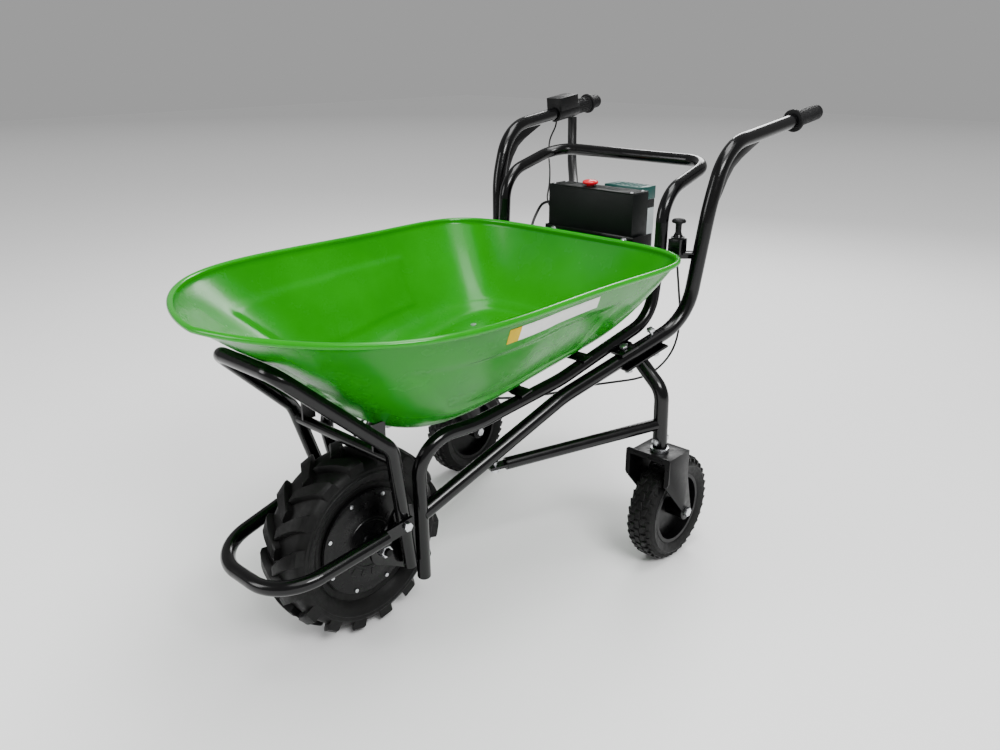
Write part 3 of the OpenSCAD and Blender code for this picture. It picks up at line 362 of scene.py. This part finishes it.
def area_light(name, at, size, watts, target=(0, 0, 0.45)):
    light = bpy.data.lights.new(name, "AREA")
    light.shape = "RECTANGLE"
    light.size, light.size_y = size
    light.energy = watts
    lamp = bpy.data.objects.new(name, light)
    bpy.context.scene.collection.objects.link(lamp)
    lamp.location = at
    lamp.rotation_euler = (Vector(target) - Vector(at)).to_track_quat("-Z", "Y").to_euler()


area_light("key_light", (1.3, 3.0, 3.1), (1.6, 1.0), 130)
area_light("top_light", (-0.2, 0.1, 3.6), (2.6, 1.2), 90)
area_light("fill_light", (3.2, -1.6, 1.9), (1.2, 1.6), 45)
area_light("rim_light", (-3.0, -1.2, 2.4), (1.6, 1.0), 60)
sky = bpy.data.lights.new("sky_light", "SUN")
sky.energy = 1.4
sky.angle = math.radians(50)
sky_lamp = bpy.data.objects.new("sky_light", sky)
bpy.context.scene.collection.objects.link(sky_lamp)
sky_lamp.rotation_euler = Vector((-0.25, -0.45, -1.0)).to_track_quat("-Z", "Y").to_euler()
world = bpy.data.worlds.new("studio")
world.use_nodes = True
world.node_tree.nodes["Background"].inputs["Color"].default_value = (1, 1, 1, 1)
world.node_tree.nodes["Background"].inputs["Strength"].default_value = 0.38
bpy.context.scene.world = world

# ---- tub ----
TUB_LOW, TUB_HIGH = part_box("tub")
TUB_REAR, TUB_FRONT = TUB_LOW.x, TUB_HIGH.x
TUB_LEN = TUB_FRONT - TUB_REAR
TUB_W = 0.724
BEAD_R = 0.006
SHEET = 0.0014
FLOOR_REAR, FLOOR_FRONT = -0.110, 0.375
HALF_REAR, HALF_FRONT = 0.175, 0.140
SLOPE = 0.165
FLOOR_LOW = 0.432
FLARE_NOSE, FLARE_SIDE = 1.15, 0.70
RIM_Z_REAR, RIM_Z_FRONT = 0.702, 0.693


def corner(c):
    return math.copysign(abs(c) ** 0.45, c)


def rim_half(u):
    return TUB_W * (0.5 + 0.259 * u + 0.283 * u * u) * (1 - u) ** 0.698 * (1 + u) ** 0.242 / 1.005


def floor_z(x):
    return FLOOR_LOW + SLOPE * (FLOOR_FRONT + 0.022 - x)


def tub_wall(a, share, inward=0.0):
    """A point of the tub's wall: a is the angle round, share goes from the floor's edge to the rim."""
    c, s = math.cos(a), math.sin(a)
    u = -c
    side = 1 if s >= 0 else -1
    edge = BEAD_R + inward
    rim_x = TUB_REAR + TUB_LEN * (1 + u) / 2
    middle = (TUB_REAR + TUB_FRONT) / 2
    rim = Vector((middle + (rim_x - middle) * (1 - 2 * edge / TUB_LEN),
                  side * rim_half(u) * (1 - 2 * edge / TUB_W),
                  RIM_Z_REAR + (RIM_Z_FRONT - RIM_Z_REAR) * (1 + u) / 2))
    x = (FLOOR_REAR + FLOOR_FRONT) / 2 - corner(c) * (FLOOR_FRONT - FLOOR_REAR) / 2
    half = (HALF_REAR + HALF_FRONT - corner(c) * (HALF_FRONT - HALF_REAR)) / 2 * corner(abs(s)) * side
    base = Vector((x, half, floor_z(x)))
    if share < 0.085:
        t = share / 0.085
        out = 0.20 * t ** 0.46
    else:
        t = (share - 0.085) / 0.915
        flare = FLARE_SIDE if c >= 0 else FLARE_NOSE + (FLARE_SIDE - FLARE_NOSE) * abs(s)
        out = 0.20 + 0.80 * t ** flare
    return Vector((base.x + (rim.x - base.x) * out, base.y + (rim.y - base.y) * out,
                   base.z + (rim.z - base.z) * share))


def eased(t):
    t = max(0.0, min(1.0, t))
    return t * t * (3 - 2 * t)


def panel_depth(a, share):
    """How far the pressed panels stand into the tub: one on each side and one in the front."""
    turn = math.degrees(a) % 360
    best = 0.0
    for middle, half, low, high in ((97, 33, 0.20, 0.74), (263, 33, 0.20, 0.74), (180, 15, 0.24, 0.72)):
        off = abs((turn - middle + 180) % 360 - 180)
        lean = half * (0.72 + 0.34 * (share - low) / (high - low))
        across = eased((lean - off) / 2.6)
        along = eased((share - low) / 0.05) * eased((high - share) / 0.05)
        best = max(best, across * along)
    return best * 0.0042


ROUND = 288
ROWS = [0, 0.004, 0.012, 0.026, 0.048, 0.085] + [0.085 + 0.915 * k / 44 for k in range(1, 43)]


def wall_point(a, share, outer):
    p = tub_wall(a, share)
    q = tub_wall(a, share, 0.01)
    inward = Vector((q.x - p.x, q.y - p.y, 0))
    inward = inward.normalized() if inward.length > 1e-9 else Vector((0, 0, 0))
    press = panel_depth(a, share)
    return p + inward * (press + (0 if outer else SHEET)) + Vector((0, 0, 0 if outer else SHEET * 0.5))


def bead_point(a, turn):
    p = tub_wall(a, 1)
    q = tub_wall(a, 1, 0.01)
    out = Vector((p.x - q.x, p.y - q.y, 0)).normalized()
    t = math.radians(turn)
    return p + out * BEAD_R * math.cos(t) + Vector((0, 0, BEAD_R * math.sin(t)))


def make_tub():
    section_len = 0
    verts, faces = [], []
    for i in range(ROUND):
        a = math.tau * (i + 0.5) / ROUND
        section = [wall_point(a, s, False) for s in ROWS]
        section += [bead_point(a, t) for t in range(200, -121, -20)]
        section += [wall_point(a, s, True) for s in reversed(ROWS)]
        section_len = len(section)
        verts += section
    for i in range(ROUND):
        a, b = i * section_len, (i + 1) % ROUND * section_len
        faces += [(a + j, a + j + 1, b + j + 1, b + j) for j in range(section_len - 1)]
    for first, lift in ((0, SHEET), (section_len - 1, 0)):
        rings = [[i * section_len + first for i in range(ROUND)]]
        edge = [Vector(verts[k]) for k in rings[0]]
        middle = Vector(((FLOOR_REAR + FLOOR_FRONT) / 2, 0, 0))
        for share in (0.96, 0.9, 0.8, 0.6, 0.3):
            start = len(verts)
            for p in edge:
                q = middle + (Vector((p.x, p.y, 0)) - middle) * share
                crease = 0.0016 * eased((0.92 - share) / 0.08)
                verts.append(Vector((q.x, q.y, floor_z(q.x) + lift + crease)))
            rings.append(list(range(start, start + ROUND)))
        for outer, inner in zip(rings, rings[1:]):
            faces += [(outer[i], outer[(i + 1) % ROUND], inner[(i + 1) % ROUND], inner[i]) for i in range(ROUND)]
        faces.append(tuple(rings[-1]))
    tub = piece("tub_shell", verts, faces, FRAME, "tub_paint", ["tub"], angle=60)
    # The bead faces get the lighter green, a painted highlight on the rim.
    tub.data.materials.append(BEAD_PAINTED_HIGHLIGHT)
    first = len(ROWS)
    for f in tub.data.polygons:
        place = [v % section_len for v in f.vertices if v < ROUND * section_len]
        if len(place) == 4 and all(first <= p < first + 17 for p in place):
            f.material_index = 1


def wall_patch(name, turns, shares, proud, material, count=(48, 4)):
    """A thin strip that lies on the tub's outer wall, between two turns and two shares at each end."""
    verts, faces = [], []
    nx, ny = count
    for skin in (proud, proud * 0.3):
        for i in range(nx + 1):
            t = i / nx
            a = math.radians(turns[0] + (turns[1] - turns[0]) * t)
            low = shares[0][0] + (shares[1][0] - shares[0][0]) * t
            high = shares[0][1] + (shares[1][1] - shares[0][1]) * t
            for j in range(ny + 1):
                share = low + (high - low) * j / ny
                p = wall_point(a, share, True)
                q = tub_wall(a, share, 0.01)
                out = Vector((p.x - q.x, p.y - q.y, 0)).normalized()
                verts.append(p + out * skin)
    size = (nx + 1) * (ny + 1)
    for base in (0, size):
        faces += [(base + i * (ny + 1) + j, base + (i + 1) * (ny + 1) + j, base + (i + 1) * (ny + 1) + j + 1,
                   base + i * (ny + 1) + j + 1) for i in range(nx) for j in range(ny)]
    edge = [i * (ny + 1) for i in range(nx + 1)] + [nx * (ny + 1) + j for j in range(1, ny + 1)]
    edge += [i * (ny + 1) + ny for i in reversed(range(nx))] + [j for j in reversed(range(1, ny))]
    faces += [(edge[k], edge[(k + 1) % len(edge)], size + edge[(k + 1) % len(edge)], size + edge[k])
              for k in range(len(edge))]
    return piece(name, verts, faces, FRAME, "tub_paint", material=material)


make_tub()
wall_patch("label_white", (100.4, 74), ((0.80, 0.93), (0.80, 0.93)), 0.0007, STRIP_WHITE)
wall_patch("label_yellow", (104, 100.4), ((0.80, 0.93), (0.80, 0.93)), 0.0007, STRIP_YELLOW, (8, 4))

# ---- tyres ----
AXLE = Vector((0.447, 0, 0.195))
TYRE_LOW, TYRE_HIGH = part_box("drive_tyre")
TYRE_R = (TYRE_HIGH.z - TYRE_LOW.z) / 2
TYRE_HALF = (TYRE_HIGH.y - TYRE_LOW.y) / 2
LUG_H = 0.016


def arc(centre, radius, start, end, steps):
    return [(centre[0] + radius * math.cos(math.radians(start + (end - start) * k / steps)),
             centre[1] + radius * math.sin(math.radians(start + (end - start) * k / steps)))
            for k in range(steps + 1)]


def tyre_crown(y):
    """The carcass's radius at a distance y from the middle of the tread."""
    return TYRE_R - LUG_H - 0.010 * (abs(y) / TYRE_HALF) ** 3.0


def drive_tyre_profile():
    bead, crown = 0.1022, TYRE_R - LUG_H
    half = [(bead, 0.030), (bead, 0.0355), (bead + 0.004, 0.0378), (bead + 0.012, 0.0385), (bead + 0.018, 0.0410),
            (bead + 0.0205, 0.0418), (bead + 0.023, 0.0410), (bead + 0.030, 0.0485), (bead + 0.038, 0.0530),
            (bead + 0.046, 0.0555), (bead + 0.0475, 0.0566), (bead + 0.050, 0.0566), (bead + 0.0515, 0.0555),
            (bead + 0.058, 0.0560), (crown - 0.016, 0.0545), (crown - 0.010, 0.0510)]
    half += [(tyre_crown(y), y) for y in (0.046, 0.038, 0.028, 0.018, 0.009)]
    inner = [(bead + 0.010, 0.020), (bead + 0.040, 0.044), (crown - 0.028, 0.044), (crown - 0.012, 0.020)]
    outside = half + [(tyre_crown(0), 0)] + [(r, -y) for r, y in reversed(half)]
    inside = [(r, -y) for r, y in inner] + [(r, y) for r, y in reversed(inner)]
    return outside + inside


def lug(turn, side):
    """One bar of the tread, from the middle to the shoulder, leaning back as it goes out."""
    stations = []
    steps = 12
    for k in range(steps + 1):
        t = k / steps
        y = side * (-0.004 + 0.0585 * t)
        a = turn + 0.30 * t - 0.06 * t * t
        top = TYRE_R - 0.0002 - 0.0105 * t ** 3.2
        low = tyre_crown(y) - 0.006 - 0.018 * t ** 4
        wide = (0.0110 + 0.0060 * t) / TYRE_R
        ends = 0.0022 / TYRE_R if k in (0, steps) else 0
        drop = 0.0020 if k in (0, steps) else 0
        ring = [(low, -wide - 0.016), (top - 0.0035, -wide - 0.004), (top - drop, -wide + 0.008 + ends),
                (top - drop, wide - 0.008 - ends), (top - 0.0035, wide + 0.004), (low, wide + 0.016)]
        stations.append([AXLE + Vector((r * math.cos(a + d), y, r * math.sin(a + d))) for r, d in ring])
    return block(stations)


def make_drive_tyre():
    tyre = Shape()
    tyre.add(lathe([(r, h) for r, h in drive_tyre_profile()], AXLE, (0, 1, 0), 160))
    for i in range(16):
        for side in (1, -1):
            tyre.add(lug(math.tau * (i + (0.5 if side < 0 else 0)) / 16, side))
    piece("drive_tyre_rubber", tyre.verts, tyre.faces, "drive_wheel", "tyre_rubber", ["drive_tyre"], angle=32)


make_drive_tyre()


def make_caster_tyre(side_name, sign):
    low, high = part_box("caster_tyre_" + side_name)
    centre = (low + high) / 2
    radius = (high.z - low.z) / 2
    half = (high.y - low.y) / 2
    base = radius - 0.0028
    inner = 0.0832
    half_profile = [(inner, half - 0.009), (inner + 0.006, half - 0.0045), (inner + 0.010, half - 0.0040),
                    (inner + 0.012, half - 0.0026), (inner + 0.016, half - 0.0022), (inner + 0.020, half - 0.0006),
                    (base - 0.0200, half - 0.0010), (base - 0.0140, half - 0.0040), (base - 0.0075, half - 0.0100),
                    (base - 0.0030, half - 0.0170), (base - 0.0006, half - 0.0240), (base, half - 0.0300)]
    profile = half_profile + [(r, -y) for r, y in reversed(half_profile)]
    tyre = Shape().add(lathe(profile, centre, (0, 1, 0), 120))
    count = 36
    for row, (y, wide) in enumerate(((-0.0250, 0.0080), (-0.0130, 0.0110), (0.0, 0.0120), (0.0130, 0.0110),
                                     (0.0250, 0.0080))):
        edge = abs(y) > 0.02
        for i in range(count):
            a = math.tau * (i + 0.5 * (row % 2)) / count
            stations = []
            for k, t in enumerate((-1, -0.8, 0.8, 1)):
                end = k in (0, 3)
                spot = a + t * 0.068
                lean = (0.0022 if row % 2 else -0.0022) * t
                top = radius - 0.0001 - (0.0010 if end else 0) - (0.0050 if edge else 0.0006 if row % 2 else 0)
                reach = wide / 2
                drop = [0.0036 if edge and y < 0 else 0, 0.0036 if edge and y > 0 else 0]
                sink = base - (0.012 if edge else 0.003)
                ring = [(sink, -reach - 0.0008), (top - 0.0012 - drop[0], -reach),
                        (top - drop[0] * 0.5, -reach + 0.0012), (top - drop[1] * 0.5, reach - 0.0012),
                        (top - 0.0012 - drop[1], reach), (sink, reach + 0.0008)]
                stations.append([centre + Vector((r * math.cos(spot), y + lean + d, r * math.sin(spot)))
                                 for r, d in ring])
            tyre.add(block(stations))
    piece("caster_rubber_" + side_name, tyre.verts, tyre.faces, "caster_wheel_" + side_name, "tyre_rubber",
          ["caster_tyre_" + side_name], angle=32)


for side_name, sign in (("left", 1), ("right", -1)):
    make_caster_tyre(side_name, sign)


# ---- hub covers, with a raised ring and ribs ----
def make_cover(side_name, sign):
    low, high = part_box("motor_cover_" + side_name)
    face = abs(high.y if sign > 0 else low.y)
    outer = (high.z - low.z) / 2
    lip = 0.0424
    profile = [(0.0201, face), (0.0270, face), (0.0290, face - 0.0010), (0.0310, face - 0.0014),
               (0.0480, face - 0.0016), (0.0490, face - 0.0006), (0.0540, face - 0.0006), (0.0552, face - 0.0018),
               (0.0700, face - 0.0026), (0.0800, face - 0.0050), (0.0860, lip + 0.0036), (0.0905, lip + 0.0030),
               (outer - 0.0120, lip + 0.0032), (outer - 0.0030, lip + 0.0032), (outer, lip + 0.0020), (outer, lip)]
    back = [(outer - 0.0100, lip), (0.0860, lip), (0.0740, face - 0.0080), (0.0201, face - 0.0080)]
    cover = Shape().add(lathe(profile + back, (AXLE.x, 0, AXLE.z), (0, sign, 0), 120))
    for i in range(16):
        a = math.tau * i / 16
        out = Vector((math.cos(a), 0, math.sin(a)))
        across = Vector((-math.sin(a), 0, math.cos(a)))
        stations = []
        for r, y in ((0.0555, face - 0.0035), (0.0570, face - 0.0010), (0.0690, face - 0.0016), (0.0760, face - 0.0058)):
            centre = Vector((AXLE.x, 0, AXLE.z)) + out * r
            stations.append([centre + across * d + Vector((0, sign * h, 0)) for d, h in
                             ((-0.0024, y - 0.0030), (-0.0013, y), (0.0013, y), (0.0024, y - 0.0030))])
        cover.add(block(stations))
    piece("hub_cover_" + side_name, cover.verts, cover.faces, "drive_wheel", "cast_cover",
          ["motor_cover_" + side_name], angle=40)


for side_name, sign in (("left", 1), ("right", -1)):
    make_cover(side_name, sign)

# ---- plates, boxes and castings with softened edges ----
for name, width in (("control_box", 0.0025), ("control_lid", 0.0012), ("battery_lid", 0.0045),
                    ("battery_case", 0.0035), ("box_bracket", 0.0007), ("dropout_left", 0.0010),
                    ("dropout_right", 0.0010), ("brake_plate", 0.0008), ("knob_bracket", 0.0010),
                    ("gusset_left", 0.0010), ("gusset_right", 0.0010), ("joint_plates", 0.0010),
                    ("throttle_housing", 0.0030), ("caster_fork_left", 0.0010), ("caster_fork_right", 0.0010),
                    ("frame_bolts", 0.0006), ("axle_nuts", 0.0008), ("caster_axle_left", 0.0006),
                    ("caster_axle_right", 0.0006), ("caster_stem_left", 0.0006), ("caster_stem_right", 0.0006),
                    ("tub_bolts", 0.0008), ("tub_straps", 0.0006), ("brake_arm", 0.0006), ("cover_screws", 0.0006),
                    ("motor_axle", 0.0008)):
    softened(name, width)
for name in ("handle_tube_left", "handle_tube_right", "rail_left", "rail_right", "rear_hoop", "front_support",
             "fork_bridge", "guard_hoop", "caster_leg_left", "caster_leg_right", "leg_brace_left",
             "leg_brace_right", "drive_rim", "caster_rim_left", "caster_rim_right", "brake_cable",
             "throttle_cable", "motor_cable", "harness_sleeve"):
    softened(name, 0, 40)



def make_fork_lip(side_name):
    """The folded lip round the front edge of a caster fork."""
    low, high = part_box("caster_fork_" + side_name)
    front, back = high.x, high.x - 0.003
    reach, drop = 0.0075, 0.058
    bottom = high.z - drop
    path = [((low.y, bottom), (-1, 0)), ((low.y, bottom + 0.008), (-1, 0))]
    path += [((low.y, high.z), (-math.cos(math.radians(t)), math.sin(math.radians(t)))) for t in range(0, 91, 15)]
    path += [((high.y, high.z), (math.sin(math.radians(t)), math.cos(math.radians(t)))) for t in range(0, 91, 15)]
    path += [((high.y, bottom + 0.008), (1, 0)), ((high.y, bottom), (1, 0))]
    stations = []
    for k, ((y, z), (dy, dz)) in enumerate(path):
        out = reach * (0.45 if k in (0, len(path) - 1) else 1)
        inside = [Vector((x, y + dy * 0.0001, z + dz * 0.0001)) for x in (back, front)]
        outside = [Vector((x, y + dy * out, z + dz * out)) for x in (front, back)]
        stations.append(inside + outside)
    lip = Shape().add(block(stations))
    piece("fork_lip_" + side_name, lip.verts, lip.faces, "caster_" + side_name, "dark_steel", angle=50)


for side_name in ("left", "right"):
    make_fork_lip(side_name)

# ---- grips, button, knob and the brake's wire ----
TWIST = [j for j in frame["joints"] if j["name"] == "throttle_twist"][0]
HAND_RIGHT = Vector(TWIST["axis"]).normalized()
HAND_LEFT = Vector((HAND_RIGHT.x, -HAND_RIGHT.y, HAND_RIGHT.z))
TWIST_ROOT = Vector(TWIST["pos_m"])
TWIST_LEN, END_GRIP, GRIP_LEN, GRIP_GAP = 0.058, 0.046, 0.112, 0.0003
TIP_RIGHT = TWIST_ROOT + HAND_RIGHT * (TWIST_LEN + GRIP_GAP + END_GRIP)
TIP_LEFT = Vector((TIP_RIGHT.x, -TIP_RIGHT.y, TIP_RIGHT.z))
BORE = 0.01616
CAP = 0.003


def grip_profile(length):
    """A rubber grip from its flange to its closed end, with shallow finger rings."""
    out = [(BORE, 0), (0.0235, 0), (0.0254, 0.0010), (0.0260, 0.0024), (0.0260, 0.0052), (0.0250, 0.0068),
           (0.0215, 0.0078), (0.0186, 0.0092), (0.0179, 0.0120)]
    ring, at = 0.0062, 0.0150
    while at + ring < length - 0.006:
        out += [(0.0179, at), (0.0179, at + ring * 0.55), (0.0172, at + ring * 0.70), (0.0172, at + ring * 0.88)]
        at += ring
    out += [(0.0179, length - 0.004), (0.0179, length - 0.001), (0.0170, length + CAP - 0.0012),
            (0.0145, length + CAP), (0.0004, length + CAP), (0.0004, length + 0.0004), (BORE, length + 0.0004)]
    return out


for side_name, tip, hand, length in (("left", TIP_LEFT, HAND_LEFT, GRIP_LEN), ("right", TIP_RIGHT, HAND_RIGHT, END_GRIP)):
    part = lathe(grip_profile(length), tip - hand * length, hand, 64)
    piece("grip_rubber_" + side_name, *part, FRAME, "rubber", ["grip_" + side_name], angle=40)


def make_twist():
    """The twist grip: lengthwise ribs between two plain collars."""
    count = 96
    stations = [(0.0000, 0.0200, 0), (0.0012, 0.0209, 0), (0.0070, 0.0209, 0), (0.0080, 0.0200, 1),
                (0.0500, 0.0200, 1), (0.0510, 0.0209, 0), (0.0568, 0.0209, 0), (0.0580, 0.0200, 0)]
    u, v, w = axes(HAND_RIGHT)
    verts, faces = [], []
    for h, r, ribbed in stations:
        for k in range(count):
            a = math.tau * k / count
            radius = r - (0.0013 if ribbed and k % 4 in (0, 1) else 0)
            verts.append(TWIST_ROOT + w * h + (u * math.cos(a) + v * math.sin(a)) * radius)
    for h in (TWIST_LEN, 0):
        for k in range(count):
            a = math.tau * k / count
            verts.append(TWIST_ROOT + w * h + (u * math.cos(a) + v * math.sin(a)) * (BORE + 0.0001))
    rings = len(stations) + 2
    for i in range(rings):
        a, b = i * count, (i + 1) % rings * count
        faces += [(a + k, a + (k + 1) % count, b + (k + 1) % count, b + k) for k in range(count)]
    piece("twist_rubber", verts, faces, "throttle", "rubber", ["throttle_grip"], angle=30)


make_twist()


def make_button():
    low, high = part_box("red_button")
    centre = ((low.x + high.x) / 2, (low.y + high.y) / 2, 0)
    r, top, foot = (high.x - low.x) / 2, high.z, low.z
    dome = [(r * math.sin(math.radians(t)), top - 0.0062 + 0.0062 * math.cos(math.radians(t)))
            for t in range(2, 91, 8)]
    profile = dome + [(r, top - 0.0078), (r - 0.0010, top - 0.0098), (r - 0.0035, top - 0.0110),
                      (0.0090, top - 0.0110), (0.0090, foot), (0.0006, foot)]
    piece("stop_mushroom", *lathe(profile, centre, (0, 0, 1), 72), "stop_button", "red_plastic", ["red_button"])
    lid_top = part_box("control_lid")[1].z
    collar = [(0.0096, 0), (0.0150, 0), (0.0150, 0.0006), (0.0147, 0.0008), (0.0096, 0.0008)]
    piece("stop_collar", *lathe(rounded(collar, 0.0001), (centre[0], centre[1], lid_top), (0, 0, 1), 64), FRAME,
          "black_plastic")


make_button()


def make_knob():
    low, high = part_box("brake_knob")
    x, y = (low.x + high.x) / 2, (low.y + high.y) / 2
    r, top = (high.x - low.x) / 2, high.z
    cap = [(0.0006, top), (r * 0.45, top), (r * 0.78, top - 0.0012), (r * 0.96, top - 0.0036), (r, top - 0.0060),
           (r * 0.94, top - 0.0086), (r * 0.55, top - 0.0104), (0.0068, top - 0.0130), (0.0066, top - 0.0290),
           (0.0080, top - 0.0320), (0.0080, top - 0.0338), (0.0049, top - 0.0338), (0.0049, low.z),
           (0.0006, low.z)]
    knob = Shape().add(lathe(cap, (x, y, 0), (0, 0, 1), 64))
    for k in range(10):
        a = math.tau * k / 10
        out = Vector((math.cos(a), math.sin(a), 0))
        across = Vector((-math.sin(a), math.cos(a), 0))
        stations = [[Vector((x, y, h)) + out * d + across * s for d, s in
                     ((r * 0.70, -0.0012), (r * q, -0.0007), (r * q, 0.0007), (r * 0.70, 0.0012))]
                    for h, q in ((top - 0.0086, 0.96), (top - 0.0060, 1.0), (top - 0.0036, 0.98))]
        knob.add(block(stations))
    piece("brake_pull_knob", knob.verts, knob.faces, "brake_pull", "black_plastic", ["brake_knob"])
    nut_at = Vector((x, y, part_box("knob_bracket")[1].z - 0.0088))
    nut = Shape().add(hexagon(nut_at - Vector((0, 0, 0.0005)), (0, 0, 1), 0.0165, 0.0042))
    piece("knob_lock_nut", nut.verts, nut.faces, FRAME, "black_plastic")


make_knob()

ARM = [j for j in frame["joints"] if j["name"] == "brake_arm_swing"][0]
ARM_END = Vector((ARM["pos_m"][0] - 0.050, -0.0658, ARM["pos_m"][2] + 0.010))
WIRE_STOP = Vector((0.365, -0.066, 0.2975))


def make_wire():
    """The brake's inner wire, a straight run between the arm and the cable's stop."""
    stations = []
    u, v, w = axes(WIRE_STOP - ARM_END)
    for k in range(9):
        p = ARM_END.lerp(WIRE_STOP, k / 8)
        stations.append([p + (u * math.cos(math.tau * i / 10) + v * math.sin(math.tau * i / 10)) * 0.0010
                         for i in range(10)])
    verts, faces = block(stations)
    mesh = bpy.data.meshes.new("brake_wire")
    mesh.from_pydata([tuple(p) for p in verts], [], faces)
    wire = bpy.data.objects.new("brake_wire", mesh)
    bpy.context.scene.collection.objects.link(wire)
    wire.data.materials.append(MATERIALS["zinc"])
    shade(wire, 40)
    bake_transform(wire)


make_wire()

# ---- battery and control box trim ----
def ring_box(name, low, high, grow, thick, body, slot_name):
    """A band round an upright box."""
    lo, hi = low - Vector((grow, grow, 0)), high + Vector((grow, grow, 0))
    outline = []
    r = 0.004
    for cx, cy, a0 in ((hi.x - r, hi.y - r, 0), (lo.x + r, hi.y - r, 90), (lo.x + r, lo.y + r, 180), (hi.x - r, lo.y + r, 270)):
        outline += [(cx, cy, a0 + 22.5 * k) for k in range(5)]
    verts, faces = [], []
    rings = ((r, low.z), (r, high.z), (r - thick, high.z), (r - thick, low.z))
    for radius, z in rings:
        for cx, cy, a in outline:
            verts.append((cx + radius * math.cos(math.radians(a)), cy + radius * math.sin(math.radians(a)), z))
    n = len(outline)
    for i in range(4):
        a, b = i * n, (i + 1) % 4 * n
        faces += [(a + k, a + (k + 1) % n, b + (k + 1) % n, b + k) for k in range(n)]
    return piece(name, verts, faces, body, slot_name)


CASE_LOW, CASE_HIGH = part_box("battery_case")
ring_box("battery_band", Vector((CASE_LOW.x, CASE_LOW.y, CASE_HIGH.z - 0.020)), Vector((CASE_HIGH.x, CASE_HIGH.y, CASE_HIGH.z - 0.0006)),
         0.0008, 0.0014, "battery", "black_plastic")
LID_LOW, LID_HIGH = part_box("battery_lid")


def rib(name, low, high, body, slot_name, top_in=0.0012):
    """A low raised rib or pad with sloped sides."""
    stations = [[Vector((low[0], low[1], low[2])), Vector((high[0], low[1], low[2])),
                 Vector((high[0], high[1], low[2])), Vector((low[0], high[1], low[2]))],
                [Vector((low[0] + top_in, low[1] + top_in, high[2])), Vector((high[0] - top_in, low[1] + top_in, high[2])),
                 Vector((high[0] - top_in, high[1] - top_in, high[2])), Vector((low[0] + top_in, high[1] - top_in, high[2]))]]
    return block(stations)


lid_trim = Shape()
for k in range(6):
    y = LID_LOW.y + 0.022 + k * 0.0128
    lid_trim.add(rib("rib", (LID_LOW.x + 0.012, y, LID_HIGH.z - 0.0003), (LID_HIGH.x - 0.012, y + 0.006, LID_HIGH.z + 0.0016), "battery", ""))
piece("battery_lid_ribs", lid_trim.verts, lid_trim.faces, "battery", "battery_teal")

BOX_LOW, BOX_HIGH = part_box("control_box")
LID_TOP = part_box("control_lid")[1]
screws = Shape()
for x in (BOX_LOW.x + 0.009, BOX_HIGH.x - 0.009):
    for y in (BOX_LOW.y + 0.010, BOX_HIGH.y - 0.010):
        screws.add(lathe([(0.0003, 0.0022), (0.0022, 0.0021), (0.0036, 0.0012), (0.0038, 0), (0.0003, 0)],
                         (x, y, LID_TOP.z), (0, 0, 1), 28))
piece("box_lid_screws", screws.verts, screws.faces, FRAME, "zinc")
plate_bolts = Shape()
BRACKET_LOW, BRACKET_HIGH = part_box("box_bracket")
for y in (-0.105, 0.105):
    at = Vector((BOX_HIGH.x + 0.0036, y, 0.690))
    plate_bolts.add(lathe([(0.0003, 0.0016), (0.0088, 0.0016), (0.0092, 0), (0.0003, 0)], at, (1, 0, 0), 32))
    plate_bolts.add(hexagon(at + Vector((0.0015, 0, 0)), (1, 0, 0), 0.0062, 0.0042))
piece("bracket_bolts", plate_bolts.verts, plate_bolts.faces, FRAME, "zinc")
gland = [(0.0128, 0), (0.0170, 0), (0.0170, 0.005), (0.0155, 0.0075), (0.0128, 0.0075)]
piece("sleeve_gland", *lathe(rounded(gland, 0.0008), (BOX_LOW.x, -0.092, 0.742), (-1, 0, 0), 56), FRAME, "black_plastic")
